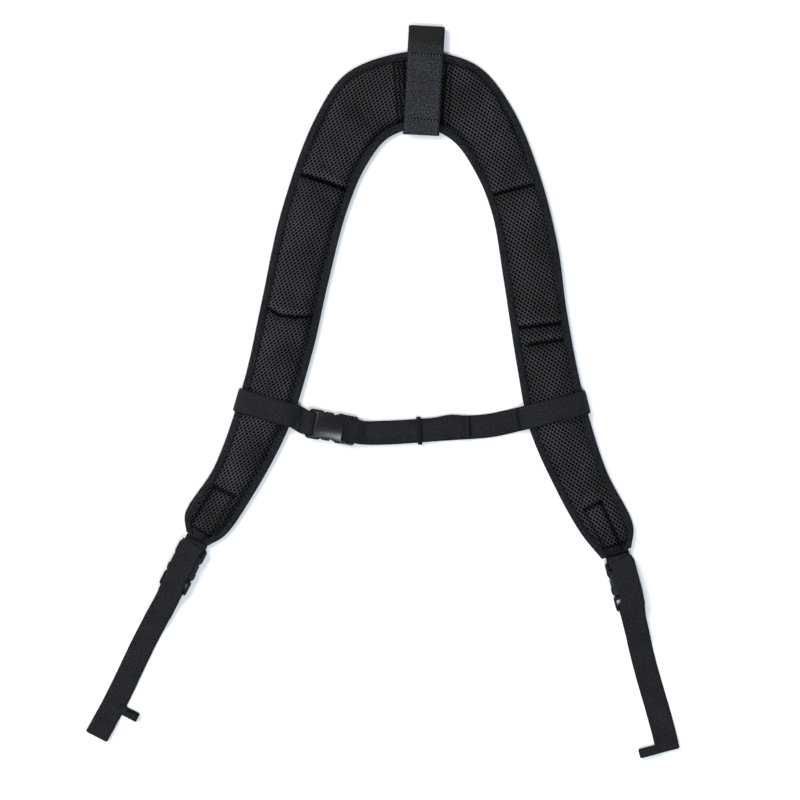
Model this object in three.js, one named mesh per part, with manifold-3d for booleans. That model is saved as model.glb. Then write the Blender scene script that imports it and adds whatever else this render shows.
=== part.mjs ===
// Padded shoulder harness of a breathing apparatus, lying flat with its mesh lining up.
//
// Millimetres. +Z points up, from the surface that the harness lies on, and +Y points to the neck loop.
// Left is -X and right is +X, as the harness is seen from above. The origin is
// the centre of the footprint, on that surface.
//
// The yoke has five padded panels (neck, two shoulders, two chests) that fold along sewn creases.
// Every panel is back fabric, foam, spacer mesh and two folded binding tapes. A chest strap with a
// side release buckle joins the chest panels, and a buckled strap hangs from the end of each.

import * as THREE from 'three';
import { mergeVertices } from 'three/addons/utils/BufferGeometryUtils.js';
import Module from 'manifold-3d';

const wasm = await Module();
wasm.setup();

// ---------------------------------------------------------------- driving dimensions

const GAP = 0.3;                  // air kept between neighbouring pieces

// Webbing
const WEB_WIDTH = 25;
const WEB_THICK = 1.5;
const WEB_REST = 0.85;            // height of a web's mid-plane where it lies on the surface
const TAB_WIDTH = 38;
const PULL_TAPE_WIDTH = 9.5;

// Padded panels: heights are counted from the underside of the pad
const PAD_LIFT = 2;               // the webbing that runs under the pads holds them this far up
const PAD_HEIGHT = 12;
const TAPE_THICK = 0.6;           // binding tape
const TAPE_LEG = 8;
const TAPE_OUTER = 4.1;           // height of the tape's folded edge
const BACK_LOW = 0.9;
const BACK_HIGH = 1.7;
const MESH_LOW = 2;
const MESH_HIGH = 3.2;            // mesh pressed flat under the tape
const MESH_LOFT = 2;              // thickness of the mesh over the foam
const EDGE_MARGIN = 0.9;          // from the folded edge of the tape to the sheets inside it
const FLANGE = 9.5;               // flat edge between the folded edge and the foam
const DOME_POWER = 2.6;
const DOME_STEPS = 8;

// Folds
const SHOULDER_FOLD_Y = 222;
const CHEST_FOLD_Y = 78;
const CREASE_HALF = 2.5;          // half of the gap between two panels
const CREASE_RAMP = 12;           // length over which a pad thickens away from a crease or an end
const FOAM_SETBACK = 6;           // from the end of a panel to its foam
const FOAM_DROP = 0.6;            // from the mesh down to the foam

// Edges of the whole yoke, from the end of the left chest panel over the neck to the right one
const OUTER_EDGE = [
  [-208, -143], [-209, -124], [-178, -74], [-147, 16], [-129, 97], [-108, 193], [-72, 292], [-39, 339],
  [22, 361], [66, 359], [102, 344], [136, 300], [165, 228], [183, 156], [192, 90], [208, 7], [233, -77],
  [262, -137], [260, -160],
];
const INNER_EDGE = [
  [-185, -158], [-167, -147], [-142, -112], [-101, -36], [-75, 46], [-59, 117], [-39, 194], [-19, 241],
  [5, 271], [41, 281], [72, 268], [97, 233], [114, 190], [126, 120], [140, 30], [153, -35], [180, -97],
  [207, -145], [229, -172],
];

// Neck webbing: its foot, and the line that it follows over the neck panel
const TAB_FOOT = [39, 274];
const TAB_LEAN = 0.054;           // radians, leaning to +X as it rises
const TAB_SEWN = 88.5;            // from the foot to the stitch line under the hang loop
const LOOP_REACH = 25.5;          // from that line to the loop's bend
const LOOP_TOP = 9.2;             // mid-plane of the loop's upper layer

// Chest strap
const STERNUM_BAR = [-78.8, -28.9];
const STERNUM_TURN = -0.18;
const LEFT_SLEEVE = { centre: [-121.8, -13.8], turn: -0.285, padWidth: 61.5 };
const RIGHT_SLEEVE = { centre: [180, -15.2], turn: 0.25, padWidth: 62 };
const STRAP_ROUTE = [[-16, -39.4], [17, -38.3], [70, -34.6], [111, -31.6], [143.6, -24.6]];
const STRAP_RUN = 2;              // mid-plane of the strap where its keeper goes round it
const TAIL_END = 170;             // from the socket's bar to the end of the strap's tail
const KEEPER_AT = 115.6;
const KEEPER_WIDTH = 6;
const KEEPER_THICK = 0.8;

// Lower straps: each hangs from its chest panel along its own line
const LOWER_SETS = {
  left: {
    bar: [-200, -159], turn: -2.044, length: 225, pullAt: 187, pullSide: 1, prongs: ['inner', 'outer'],
  },
  right: {
    bar: [247.3, -174.8], turn: -1.319, length: 206, pullAt: 201, pullSide: -1, prongs: ['outer', 'inner'],
  },
};

// Side release buckle for 25 mm webbing, measured along its axis from the socket's web bar
const BUCKLE = {
  height: 9.5,
  half: 15.8,                     // half width of the socket
  bar: 1.9,                       // radius of a web bar
  mid: 4.75,                      // height of the bars' axes
  post: 13,                       // from the axis to the posts beside the web
  slotEnd: 7,
  cavityStart: 9.5,
  cavityHalf: 12.6,
  cavityLow: 2.3,
  cavityHigh: 7.2,
  mouth: 34,
  windowStart: 13,
  windowEnd: 25,
  plugEnd: 50.6,
  plugHalf: 15.5,
  plugSlot: 38.3,
  plugBar: 47.5,                  // where the plain plug's bar lies
};
const BAR_LOOP = BUCKLE.bar + 0.5 + WEB_THICK / 2;   // mid-plane radius of a web round a bar

// ---------------------------------------------------------------- materials

const paint = (color, roughness) => new THREE.MeshStandardMaterial({ color, roughness, metalness: 0 });
const BACK_CLOTH = paint(0x1d1e21, 0.85);
const FOAM = paint(0x3a3b3d, 0.95);
const MESH_CLOTH = paint(0x2a2b2e, 0.9);
const BINDING = paint(0x202125, 0.8);
const WEBBING = paint(0x232428, 0.75);
const TAB_WEBBING = paint(0x303237, 0.75);
const ELASTIC = paint(0x1f2023, 0.85);
const PLASTIC = paint(0x15171b, 0.35);

// ---------------------------------------------------------------- solids

/** Turns the faces round where they point inward. */
function facingOut(geometry) {
  const position = geometry.attributes.position;
  const index = geometry.index.array;
  const [a, b, c] = [new THREE.Vector3(), new THREE.Vector3(), new THREE.Vector3()];
  let volume = 0;
  for (let i = 0; i < index.length; i += 3) {
    a.fromBufferAttribute(position, index[i]);
    b.fromBufferAttribute(position, index[i + 1]);
    c.fromBufferAttribute(position, index[i + 2]);
    volume += a.dot(b.cross(c));
  }
  if (volume < 0) {
    index.reverse();
  }
  return geometry;
}

/** Closed solid through a row of rings. Each ring is the same polygon, moved and stretched. */
function loft(rings, polygon) {
  const count = polygon.length;
  const index = [];
  for (let row = 0; row < rings.length - 1; row += 1) {
    for (let i = 0; i < count; i += 1) {
      const near = row * count + i;
      const beside = row * count + (i + 1) % count;
      index.push(near, beside, beside + count, near, beside + count, near + count);
    }
  }
  const last = (rings.length - 1) * count;
  const clockwise = THREE.ShapeUtils.isClockWise(polygon);
  for (const face of THREE.ShapeUtils.triangulateShape(polygon, [])) {
    const [a, b, c] = clockwise ? face.reverse() : face;
    index.push(a, c, b, last + a, last + b, last + c);
  }
  const geometry = new THREE.BufferGeometry();
  const positions = rings.flat().flatMap((point) => point.toArray());
  geometry.setAttribute('position', new THREE.Float32BufferAttribute(positions, 3));
  geometry.setIndex(index);
  return facingOut(geometry);
}

function solidOf(geometry) {
  const bare = geometry.clone();
  bare.deleteAttribute('normal');
  bare.deleteAttribute('uv');
  const merged = mergeVertices(bare, 1e-4);
  return new wasm.Manifold(new wasm.Mesh({
    numProp: 3,
    vertProperties: new Float32Array(merged.attributes.position.array),
    triVerts: new Uint32Array(merged.index.array),
  }));
}

function geometryOf(solid) {
  const mesh = solid.getMesh();
  const geometry = new THREE.BufferGeometry();
  geometry.setAttribute('position', new THREE.Float32BufferAttribute(mesh.vertProperties, 3));
  geometry.setIndex(Array.from(mesh.triVerts));
  return geometry;
}

/** Box between two values on each axis. */
function block([x0, x1], [y0, y1], [z0, z1]) {
  const box = new THREE.BoxGeometry(x1 - x0, y1 - y0, z1 - z0);
  return solidOf(box.translate((x0 + x1) / 2, (y0 + y1) / 2, (z0 + z1) / 2));
}

/** Rounded rectangle from x0 to x1, extruded with a rounded rim. */
function cushionBlock(x0, x1, half, corner, [low, high], rim) {
  const shape = new THREE.Shape();
  shape.absarc(x1 - corner, half - corner, corner, 0, Math.PI / 2);
  shape.absarc(x0 + corner, half - corner, corner, Math.PI / 2, Math.PI);
  shape.absarc(x0 + corner, corner - half, corner, Math.PI, 1.5 * Math.PI);
  shape.absarc(x1 - corner, corner - half, corner, 1.5 * Math.PI, 2 * Math.PI);
  const geometry = new THREE.ExtrudeGeometry(shape, {
    depth: high - low - 2 * rim,
    bevelThickness: rim,
    bevelSize: rim,
    bevelOffset: -rim,
    bevelSegments: 2,
    curveSegments: 4,
  });
  return solidOf(geometry.translate(0, 0, low + rim));
}

// ---------------------------------------------------------------- webbing

/** Path in a vertical plane, as [along, height] points, with every corner rounded. */
function roundedPath(corners, radius, steps = 4) {
  const points = corners.map(([x, y]) => new THREE.Vector2(x, y));
  const path = [points[0]];
  for (let i = 1; i < points.length - 1; i += 1) {
    const before = points[i - 1].clone().sub(points[i]);
    const after = points[i + 1].clone().sub(points[i]);
    const reach = Math.min(radius, before.length() * 0.45, after.length() * 0.45);
    const start = points[i].clone().addScaledVector(before.normalize(), reach);
    const end = points[i].clone().addScaledVector(after.normalize(), reach);
    const bend = new THREE.QuadraticBezierCurve(start, points[i], end);
    path.push(...bend.getPoints(steps));
  }
  path.push(points.at(-1));
  return path;
}

/** Half turn round a bar at `along`, from below it to above it, bulging towards +along or -along. */
function barTurn(along, side, radius = BAR_LOOP, height = BUCKLE.mid, steps = 10) {
  return Array.from({ length: steps + 1 }, (_, i) => {
    const angle = -Math.PI / 2 + (Math.PI * i) / steps;
    return new THREE.Vector2(along + side * radius * Math.cos(angle), height + radius * Math.sin(angle));
  });
}

/** Adds points so that no stretch of a path is longer than `step`. */
function finer(path, step) {
  return path.flatMap((point, i) => {
    if (i === 0) {
      return [point];
    }
    const pieces = Math.max(1, Math.ceil(point.distanceTo(path[i - 1]) / step));
    return Array.from({ length: pieces }, (_, k) => path[i - 1].clone().lerp(point, (k + 1) / pieces));
  });
}

const straight = (along) => ({ x: along, y: 0, sideX: 0, sideY: 1 });

/** Flat band of webbing along a path; `plan` lays the path out seen from above. */
function ribbon(path, width, thick = WEB_THICK, plan = straight) {
  const rectangle = [[-1, -1], [1, -1], [1, 1], [-1, 1]].map(([x, y]) => new THREE.Vector2(x, y));
  const rings = path.map((point, i) => {
    const ahead = (path[i + 1] ?? point).clone().sub(point).normalize();
    const behind = point.clone().sub(path[i - 1] ?? point).normalize();
    const tangent = ahead.clone().add(behind).normalize();
    const stretch = 1 / Math.max(0.5, i > 0 && i < path.length - 1 ? tangent.dot(ahead) : 1);
    return rectangle.map(({ x: across, y: up }) => {
      const offset = (up * thick * stretch) / 2;
      const place = plan(point.x - tangent.y * offset);
      const reach = (across * width) / 2;
      const z = point.y + tangent.x * offset;
      return new THREE.Vector3(place.x + place.sideX * reach, place.y + place.sideY * reach, z);
    });
  });
  return loft(rings, rectangle);
}

// ---------------------------------------------------------------- padded panels

const curveOf = (points) => new THREE.CatmullRomCurve3(points.map(([x, y]) => new THREE.Vector3(x, y, 0)));
const OUTER = curveOf(OUTER_EDGE);
const INNER = curveOf(INNER_EDGE);

/** Share of an edge's length at which its left or right arm passes a height. */
function shareAt(curve, y, arm) {
  let low = arm === 'left' ? 0 : 1;
  let high = 0.5;
  for (let i = 0; i < 40; i += 1) {
    const middle = (low + high) / 2;
    if (curve.getPointAt(middle).y < y) {
      low = middle;
    } else {
      high = middle;
    }
  }
  return (low + high) / 2;
}

const cutAt = (y, arm) => ({ outer: shareAt(OUTER, y, arm), inner: shareAt(INNER, y, arm) });

/** Ribs across a panel, from its first cut to its last: close together where the pad thickens. */
function ribsBetween(first, last, spacing = 25) {
  const at = (cut) => OUTER.getPointAt(cut.outer).lerp(INNER.getPointAt(cut.inner), 0.5);
  const blend = (share) => ({
    outer: THREE.MathUtils.lerp(first.outer, last.outer, share),
    inner: THREE.MathUtils.lerp(first.inner, last.inner, share),
  });
  let length = 0;
  for (let i = 0; i < 40; i += 1) {
    length += at(blend(i / 40)).distanceTo(at(blend((i + 1) / 40)));
  }
  const edge = [0, 3, FOAM_SETBACK, CREASE_RAMP];
  const steps = Math.round((length - 2 * CREASE_RAMP) / spacing);
  const middle = Array.from({ length: steps - 1 }, (_, i) => (
    CREASE_RAMP + ((length - 2 * CREASE_RAMP) * (i + 1)) / steps
  ));
  const distances = [...edge, ...middle, ...edge.map((value) => length - value).reverse()];
  return distances.map((distance) => {
    const cut = blend(distance / length);
    const start = OUTER.getPointAt(cut.outer);
    const across = INNER.getPointAt(cut.inner).sub(start);
    const fromEnd = Math.min(distance, length - distance);
    return {
      start,
      width: across.length(),
      across: across.normalize(),
      fromEnd,
      thickness: Math.sin((Math.PI / 2) * Math.min(1, fromEnd / CREASE_RAMP)),
    };
  });
}

const dome = (x) => Math.sqrt(Math.max(0, 1 - Math.abs(x) ** DOME_POWER));
const domeSpread = Array.from({ length: DOME_STEPS + 1 }, (_, i) => -Math.cos((Math.PI * i) / DOME_STEPS));

/** Solid through the ribs; `section(rib)` gives [from the outer edge, height] points. */
function panelSolid(ribs, section) {
  const rings = ribs.map((rib) => section(rib).map(([inward, height]) => {
    const point = rib.start.clone().addScaledVector(rib.across, inward);
    return point.setZ(PAD_LIFT + height);
  }));
  const middle = section(ribs[Math.floor(ribs.length / 2)]);
  return loft(rings, middle.map(([x, y]) => new THREE.Vector2(x, y)));
}

/** Flat sheet across the panel, inside the folded tapes. */
function backFabric({ width }) {
  const far = width - EDGE_MARGIN;
  return [[EDGE_MARGIN, BACK_LOW], [far, BACK_LOW], [far, BACK_HIGH], [EDGE_MARGIN, BACK_HIGH]];
}

/** Spacer mesh: flat under the tapes and arched over the foam. */
function meshCover({ width, thickness }) {
  const half = width / 2;
  const arch = (reach, low, rise) => domeSpread.map((x) => [half + x * reach, low + rise * dome(x)]);
  const top = arch(half - FLANGE, MESH_HIGH, thickness * (PAD_HEIGHT - MESH_HIGH));
  const hollow = thickness * (PAD_HEIGHT - MESH_LOFT - MESH_LOW);
  const under = arch(half - FLANGE - MESH_LOFT, MESH_LOW, hollow);
  return [
    [EDGE_MARGIN, MESH_LOW], ...under, [width - EDGE_MARGIN, MESH_LOW],
    [width - EDGE_MARGIN, MESH_HIGH], ...top.reverse(), [EDGE_MARGIN, MESH_HIGH],
  ];
}

/** Foam that fills the arch of the mesh. */
function foamCore({ width, thickness }) {
  const half = width / 2;
  const reach = half - FLANGE - MESH_LOFT - GAP;
  const rise = thickness * (PAD_HEIGHT - MESH_LOFT - MESH_LOW);
  const shoulder = 0.96;
  const level = MESH_LOW - FOAM_DROP;
  const top = domeSpread.map((x) => [half + shoulder * x * reach, level + rise * dome(shoulder * x)]);
  return [[half - shoulder * reach, MESH_LOW], [half + shoulder * reach, MESH_LOW], ...top.reverse()];
}

/** Binding tape folded over one edge of the sheets. */
function bindingTape({ width }, side) {
  const turn = 1;
  const outline = [
    [TAPE_LEG, 0], [turn, 0], [0, turn], [0, TAPE_OUTER - turn], [turn, TAPE_OUTER], [TAPE_LEG, TAPE_OUTER],
    [TAPE_LEG, TAPE_OUTER - TAPE_THICK], [TAPE_THICK, TAPE_OUTER - TAPE_THICK],
    [TAPE_THICK, TAPE_THICK], [TAPE_LEG, TAPE_THICK],
  ];
  return outline.map(([inward, height]) => [side === 'outer' ? inward : width - inward, height]);
}

// ---------------------------------------------------------------- pieces of the model

const harness = new THREE.Group();

function place(name, geometry, material, parent = harness) {
  const mesh = new THREE.Mesh(geometry, material);
  mesh.name = name;
  parent.add(mesh);
  return mesh;
}

function addPanel(name, first, last) {
  const ribs = ribsBetween(first, last);
  const padded = ribs.filter((rib) => rib.fromEnd >= FOAM_SETBACK - 0.01);
  place(`${name}_back_fabric`, panelSolid(ribs, backFabric), BACK_CLOTH);
  place(`${name}_foam`, panelSolid(padded, foamCore), FOAM);
  place(`${name}_mesh_cover`, panelSolid(ribs, meshCover), MESH_CLOTH);
  for (const side of ['outer', 'inner']) {
    place(`${name}_${side}_binding`, panelSolid(ribs, (rib) => bindingTape(rib, side)), BINDING);
  }
}

function addPads() {
  const neckEnd = SHOULDER_FOLD_Y + CREASE_HALF;
  addPanel('neck', cutAt(neckEnd, 'left'), cutAt(neckEnd, 'right'));
  const ends = { left: { outer: 0, inner: 0 }, right: { outer: 1, inner: 1 } };
  for (const arm of ['left', 'right']) {
    const top = cutAt(SHOULDER_FOLD_Y - CREASE_HALF, arm);
    addPanel(`${arm}_shoulder`, top, cutAt(CHEST_FOLD_Y + CREASE_HALF, arm));
    addPanel(`${arm}_chest`, cutAt(CHEST_FOLD_Y - CREASE_HALF, arm), ends[arm]);
  }
}

// ---------------------------------------------------------------- neck webbing and hang loop

function addNeckWebbing() {
  const group = new THREE.Group();
  group.position.set(...TAB_FOOT, 0);
  group.rotation.z = Math.PI / 2 - TAB_LEAN;
  harness.add(group);

  // The upper layer arches over the pad: low at its foot and at the outer edge, high in the middle
  const low = 6.9;
  const rise = 8.4;
  const half = TAB_SEWN / 2;
  const arch = Array.from({ length: 15 }, (_, i) => {
    const x = -0.98 + (1.96 * i) / 14;
    return new THREE.Vector2(half + (x * (half - GAP)) / 0.98, low + rise * Math.sqrt(1 - x * x));
  });
  place('neck_web', ribbon(arch, TAB_WIDTH), TAB_WEBBING, group);

  const under = [new THREE.Vector2(0, WEB_REST), new THREE.Vector2(TAB_SEWN - GAP, WEB_REST)];
  place('neck_web_back', ribbon(under, TAB_WIDTH), TAB_WEBBING, group);

  const start = TAB_SEWN + GAP;
  const bend = TAB_SEWN + LOOP_REACH;
  const radius = (LOOP_TOP - WEB_REST) / 2 - 0.2;
  const loop = [
    new THREE.Vector2(start, WEB_REST),
    new THREE.Vector2(bend - 6, WEB_REST + 0.1),
    ...barTurn(bend - radius, 1, radius, (LOOP_TOP + WEB_REST) / 2),
    new THREE.Vector2(start + 7, LOOP_TOP - 0.1),
    new THREE.Vector2(start, low + rise * 0.2),
  ];
  place('hang_loop', ribbon(loop, TAB_WIDTH), TAB_WEBBING, group);
}

// ---------------------------------------------------------------- side release buckles

/** Cylinder of a web bar across the buckle. */
function webBar(along) {
  const bar = new THREE.CylinderGeometry(BUCKLE.bar, BUCKLE.bar, 2 * BUCKLE.post + 1, 12);
  return solidOf(bar.translate(along, 0, BUCKLE.mid));
}

function buckleSocket() {
  const { height, half, post, slotEnd, mouth, windowStart, windowEnd } = BUCKLE;
  const hollow = [BUCKLE.cavityLow, BUCKLE.cavityHigh];
  const through = [-1, height + 1];
  let socket = cushionBlock(-2.4, mouth, half, 4, [0, height], 1.4);
  socket = socket.subtract(block([-5, slotEnd], [-post, post], through));
  socket = socket.add(webBar(0));
  const inner = [-BUCKLE.cavityHalf, BUCKLE.cavityHalf];
  socket = socket.subtract(block([BUCKLE.cavityStart, mouth + 1], inner, hollow));
  for (const side of [-1, 1]) {
    const inside = side * (BUCKLE.cavityHalf - 1);
    const outside = side * (half + 1);
    const span = [Math.min(inside, outside), Math.max(inside, outside)];
    socket = socket.subtract(block([windowStart, windowEnd], span, hollow));
    const scallop = new THREE.CylinderGeometry(9.5, 9.5, height + 2, 24);
    scallop.rotateX(Math.PI / 2);
    scallop.translate((windowStart + windowEnd) / 2, side * 22.3, height / 2);
    socket = socket.subtract(solidOf(scallop));
  }
  return geometryOf(socket);
}

/** Plug with its guide blade. With `ladder` two bars grip a web; otherwise one bar holds a sewn loop. */
function bucklePlug(ladder) {
  const { plugSlot, plugEnd, plugHalf, mouth } = BUCKLE;
  const post = BUCKLE.post + 0.2;
  const bar = post + 0.3;
  let plug = cushionBlock(mouth + GAP, plugEnd, plugHalf, 2.5, [0.6, 8.6], 1);
  plug = plug.subtract(block([plugSlot, plugEnd + 1], [-post, post], [0, 10]));
  if (ladder) {
    plug = plug.add(block([41.2, 44.4], [-bar, bar], [4.2, 7]));
    plug = plug.add(block([47.6, 50.4], [-bar, bar], [4.3, 8]));
  } else {
    plug = plug.add(webBar(BUCKLE.plugBar));
  }
  return geometryOf(plug.add(block([12, 36], [-3, 3], [3.4, 6.1])));
}

/** Springy arm whose barb catches in the socket's window. */
function bucklePlugProng(side) {
  const outline = [
    [34, 7], [34, 10.2], [24.8, 12], [24, 15], [16, 15],
    [13.8, 12.2], [11.8, 11.2], [12.6, 9.4], [22, 9.2],
  ];
  const shape = new THREE.Shape(outline.map(([x, y]) => new THREE.Vector2(x, side * y)));
  const prong = new THREE.ExtrudeGeometry(shape, { depth: 3.4, bevelEnabled: false });
  return prong.translate(0, 0, 3.1);
}

function addBuckle(name, prongs, group, ladder) {
  place(`${name}_buckle_socket`, buckleSocket(), PLASTIC, group);
  place(`${name}_buckle_plug`, bucklePlug(ladder), PLASTIC, group);
  place(`${name}_${prongs[0]}_prong`, bucklePlugProng(1), PLASTIC, group);
  place(`${name}_${prongs[1]}_prong`, bucklePlugProng(-1), PLASTIC, group);
}

function barGroup([x, y], turn) {
  const group = new THREE.Group();
  group.position.set(x, y, 0);
  group.rotation.z = turn;
  harness.add(group);
  return group;
}

// ---------------------------------------------------------------- chest strap

/** Webbing sleeve round a pad: a tall rounded arch above it and a flat layer under it. */
function sleeve({ centre, turn, padWidth }) {
  const arch = (reach, base, rise) => Array.from({ length: 21 }, (_, i) => {
    const angle = (Math.PI * i) / 20;
    const across = Math.sign(Math.cos(angle)) * Math.abs(Math.cos(angle)) ** (2 / DOME_POWER);
    return new THREE.Vector2(reach * across, base + rise * Math.sin(angle) ** (2 / DOME_POWER));
  });
  const base = WEB_REST - WEB_THICK / 2;
  const clear = 3.3;
  const top = PAD_LIFT + PAD_HEIGHT + GAP + 0.1;
  const shape = new THREE.Shape(arch(padWidth / 2 + clear + WEB_THICK, base, top + WEB_THICK - base));
  shape.holes.push(new THREE.Path(arch(padWidth / 2 + clear, base + WEB_THICK, top - base - WEB_THICK)));
  const tube = new THREE.ExtrudeGeometry(shape, { depth: WEB_WIDTH, bevelEnabled: false });
  tube.translate(0, 0, -WEB_WIDTH / 2);
  tube.rotateX(Math.PI / 2);
  tube.rotateZ(turn);
  return tube.translate(...centre, 0);
}

/** Lays the strap out seen from above: straight along the buckle, then along its route. */
function sternumPlan() {
  const straightTo = 52;
  const [x0, y0] = STERNUM_BAR;
  const [dx, dy] = [Math.cos(STERNUM_TURN), Math.sin(STERNUM_TURN)];
  const onAxis = (along) => [x0 + dx * along, y0 + dy * along];
  const route = curveOf([onAxis(straightTo), onAxis(straightTo + 4), ...STRAP_ROUTE]);
  const reach = route.getLength();
  const plan = (along) => {
    if (along <= straightTo) {
      const [x, y] = onAxis(along);
      return { x, y, sideX: -dy, sideY: dx };
    }
    const share = Math.min(1, (along - straightTo) / reach);
    const point = route.getPointAt(share);
    const tangent = route.getTangentAt(share);
    return { x: point.x, y: point.y, sideX: -tangent.y, sideY: tangent.x };
  };
  return { plan, end: straightTo + reach };
}

function addChestStrap() {
  place('left_sleeve', sleeve(LEFT_SLEEVE), WEBBING);
  place('right_sleeve', sleeve(RIGHT_SLEEVE), WEBBING);

  const group = barGroup(STERNUM_BAR, STERNUM_TURN);
  const legs = [new THREE.Vector2(-6.6, 3), ...barTurn(0, 1), new THREE.Vector2(-6.6, 6.5)];
  place('sternum_anchor_web', ribbon(legs, WEB_WIDTH), WEBBING, group);
  addBuckle('sternum', ['upper', 'lower'], group, true);

  // From the right sleeve along the surface, up and over the plug's first bar, and back as the tail
  const { plan, end } = sternumPlan();
  const underBar = 0.95;
  const tailAtBar = 2.75;
  const tailRun = STRAP_RUN + WEB_THICK + GAP;
  const path = roundedPath([
    [end, 3], [end - 9, STRAP_RUN], [64, STRAP_RUN], [53, underBar], [39.75, underBar], [39.75, 8.1],
    [46, 8.1], [46, tailAtBar], [53, tailAtBar], [64, tailRun], [TAIL_END, tailRun],
  ], 1.3);
  place('sternum_strap', ribbon(finer(path, 9), WEB_WIDTH, WEB_THICK, plan), WEBBING);

  const spot = plan(KEEPER_AT);
  const inside = { half: WEB_WIDTH / 2 + 0.9, low: 0.95, high: tailRun + WEB_THICK / 2 + 0.35 };
  const ring = (grow) => [[-1, 'low'], [1, 'low'], [1, 'high'], [-1, 'high']].map(([side, level]) => (
    new THREE.Vector2(side * (inside.half + grow), inside[level] + (level === 'low' ? -grow : grow))
  ));
  const shape = new THREE.Shape(ring(KEEPER_THICK));
  shape.holes.push(new THREE.Path(ring(0)));
  const keeper = new THREE.ExtrudeGeometry(shape, { depth: KEEPER_WIDTH, bevelEnabled: false });
  keeper.translate(0, 0, -KEEPER_WIDTH / 2);
  keeper.rotateX(Math.PI / 2);
  keeper.rotateZ(Math.PI / 2 + Math.atan2(-spot.sideX, spot.sideY));
  place('strap_keeper', keeper.translate(spot.x, spot.y, 0), ELASTIC);
}

// ---------------------------------------------------------------- lower straps

function addLowerSet(name, { bar, turn, length, pullAt, pullSide, prongs }) {
  const group = barGroup(bar, turn);

  // Sewn under the pad, round the socket's bar, and turned back into the pad's end
  const anchor = [
    ...roundedPath([[-50, WEB_REST], [-8, WEB_REST], [0, BUCKLE.mid - BAR_LOOP]], 3).slice(0, -1),
    ...barTurn(0, 1),
    new THREE.Vector2(-6.8, 4.9),
  ];
  place(`${name}_anchor_web`, ribbon(anchor, WEB_WIDTH), WEBBING, group);
  addBuckle(name, prongs, group, false);

  // Loop of the plug's bar: two legs that lie on each other under the strap
  const upperLeg = WEB_REST + WEB_THICK + GAP;
  const bend = barTurn(BUCKLE.plugBar, -1);
  const loop = [
    ...roundedPath([[80, WEB_REST], [58, WEB_REST], [49, BUCKLE.mid - BAR_LOOP]], 3),
    ...bend,
    ...roundedPath([[49.5, BUCKLE.mid + BAR_LOOP - 0.5], [58, upperLeg], [80, upperLeg]], 3),
  ];
  place(`${name}_plug_web`, ribbon(loop, WEB_WIDTH), WEBBING, group);

  // Strap: covers the buckle, runs down on to the plug's loop, lies flat, and ends in a folded hem
  const overBuckle = BUCKLE.height + 0.7 + WEB_THICK / 2;
  const overLoop = upperLeg + WEB_THICK + GAP;
  const hem = 24;
  const route = [
    [4.5, overBuckle], [50, overBuckle], [62, overLoop], [82, overLoop], [94, WEB_REST],
    [length - hem - 6, WEB_REST], [length - hem + 2, upperLeg], [length - 1.7, upperLeg],
  ];
  const fold = barTurn(length - 1.7, 1, (upperLeg - WEB_REST) / 2, (upperLeg + WEB_REST) / 2, 6).reverse();
  const underHem = new THREE.Vector2(length - hem + 5, WEB_REST);
  const strap = [...roundedPath(route, 4, 3), ...fold.slice(1), underHem];
  place(`${name}_strap`, ribbon(strap, WEB_WIDTH), WEBBING, group);

  // Pull loop of narrow tape that stands out from the strap's edge
  const radius = 2.25;
  const reach = 16.5;
  const pull = [
    new THREE.Vector2(GAP, WEB_REST),
    ...barTurn(reach - radius, 1, radius, WEB_REST + radius, 8),
    new THREE.Vector2(GAP, WEB_REST + 2 * radius - 0.6),
  ];
  const tape = place(`${name}_pull_loop`, ribbon(pull, PULL_TAPE_WIDTH, 1.3), WEBBING, group);
  tape.position.set(pullAt, pullSide * (WEB_WIDTH / 2 + GAP), 0);
  tape.rotation.z = pullSide * Math.PI / 2;
}

// ---------------------------------------------------------------- whole harness

addPads();
addNeckWebbing();
addChestStrap();
for (const [name, set] of Object.entries(LOWER_SETS)) {
  addLowerSet(name, set);
}

// The origin is the centre of the footprint
const footprint = new THREE.Box3().setFromObject(harness);
const centre = footprint.getCenter(new THREE.Vector3());
harness.position.set(-centre.x, -centre.y, -footprint.min.z);

export default harness;
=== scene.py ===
import math

import bmesh
import bpy
import numpy as np
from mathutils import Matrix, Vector


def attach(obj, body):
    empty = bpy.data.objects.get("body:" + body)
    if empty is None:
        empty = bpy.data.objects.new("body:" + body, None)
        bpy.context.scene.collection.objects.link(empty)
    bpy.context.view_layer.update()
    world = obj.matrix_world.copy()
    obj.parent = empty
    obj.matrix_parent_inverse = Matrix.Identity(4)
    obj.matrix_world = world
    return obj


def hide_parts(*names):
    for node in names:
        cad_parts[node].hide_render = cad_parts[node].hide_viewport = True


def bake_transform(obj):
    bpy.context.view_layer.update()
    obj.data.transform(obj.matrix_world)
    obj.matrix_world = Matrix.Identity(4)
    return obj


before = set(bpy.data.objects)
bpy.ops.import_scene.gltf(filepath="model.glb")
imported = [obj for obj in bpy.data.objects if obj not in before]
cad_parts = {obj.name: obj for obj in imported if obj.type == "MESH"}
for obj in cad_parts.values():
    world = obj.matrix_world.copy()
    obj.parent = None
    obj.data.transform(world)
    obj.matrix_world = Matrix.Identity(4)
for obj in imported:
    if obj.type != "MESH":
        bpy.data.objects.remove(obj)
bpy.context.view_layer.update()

# The harness lies flat with the mesh side of its pads up; left is -X and right is +X, seen from above.
# Lengths are millimetres of the drawing, which `to_frame` turns into metres of the shared frame.

ORIGIN = np.array([1.4668, -4.0453])          # from the drawing's origin to the frame's

# ------------------------------------------------------------------ dimensions, as in the CAD part (mm)

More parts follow.
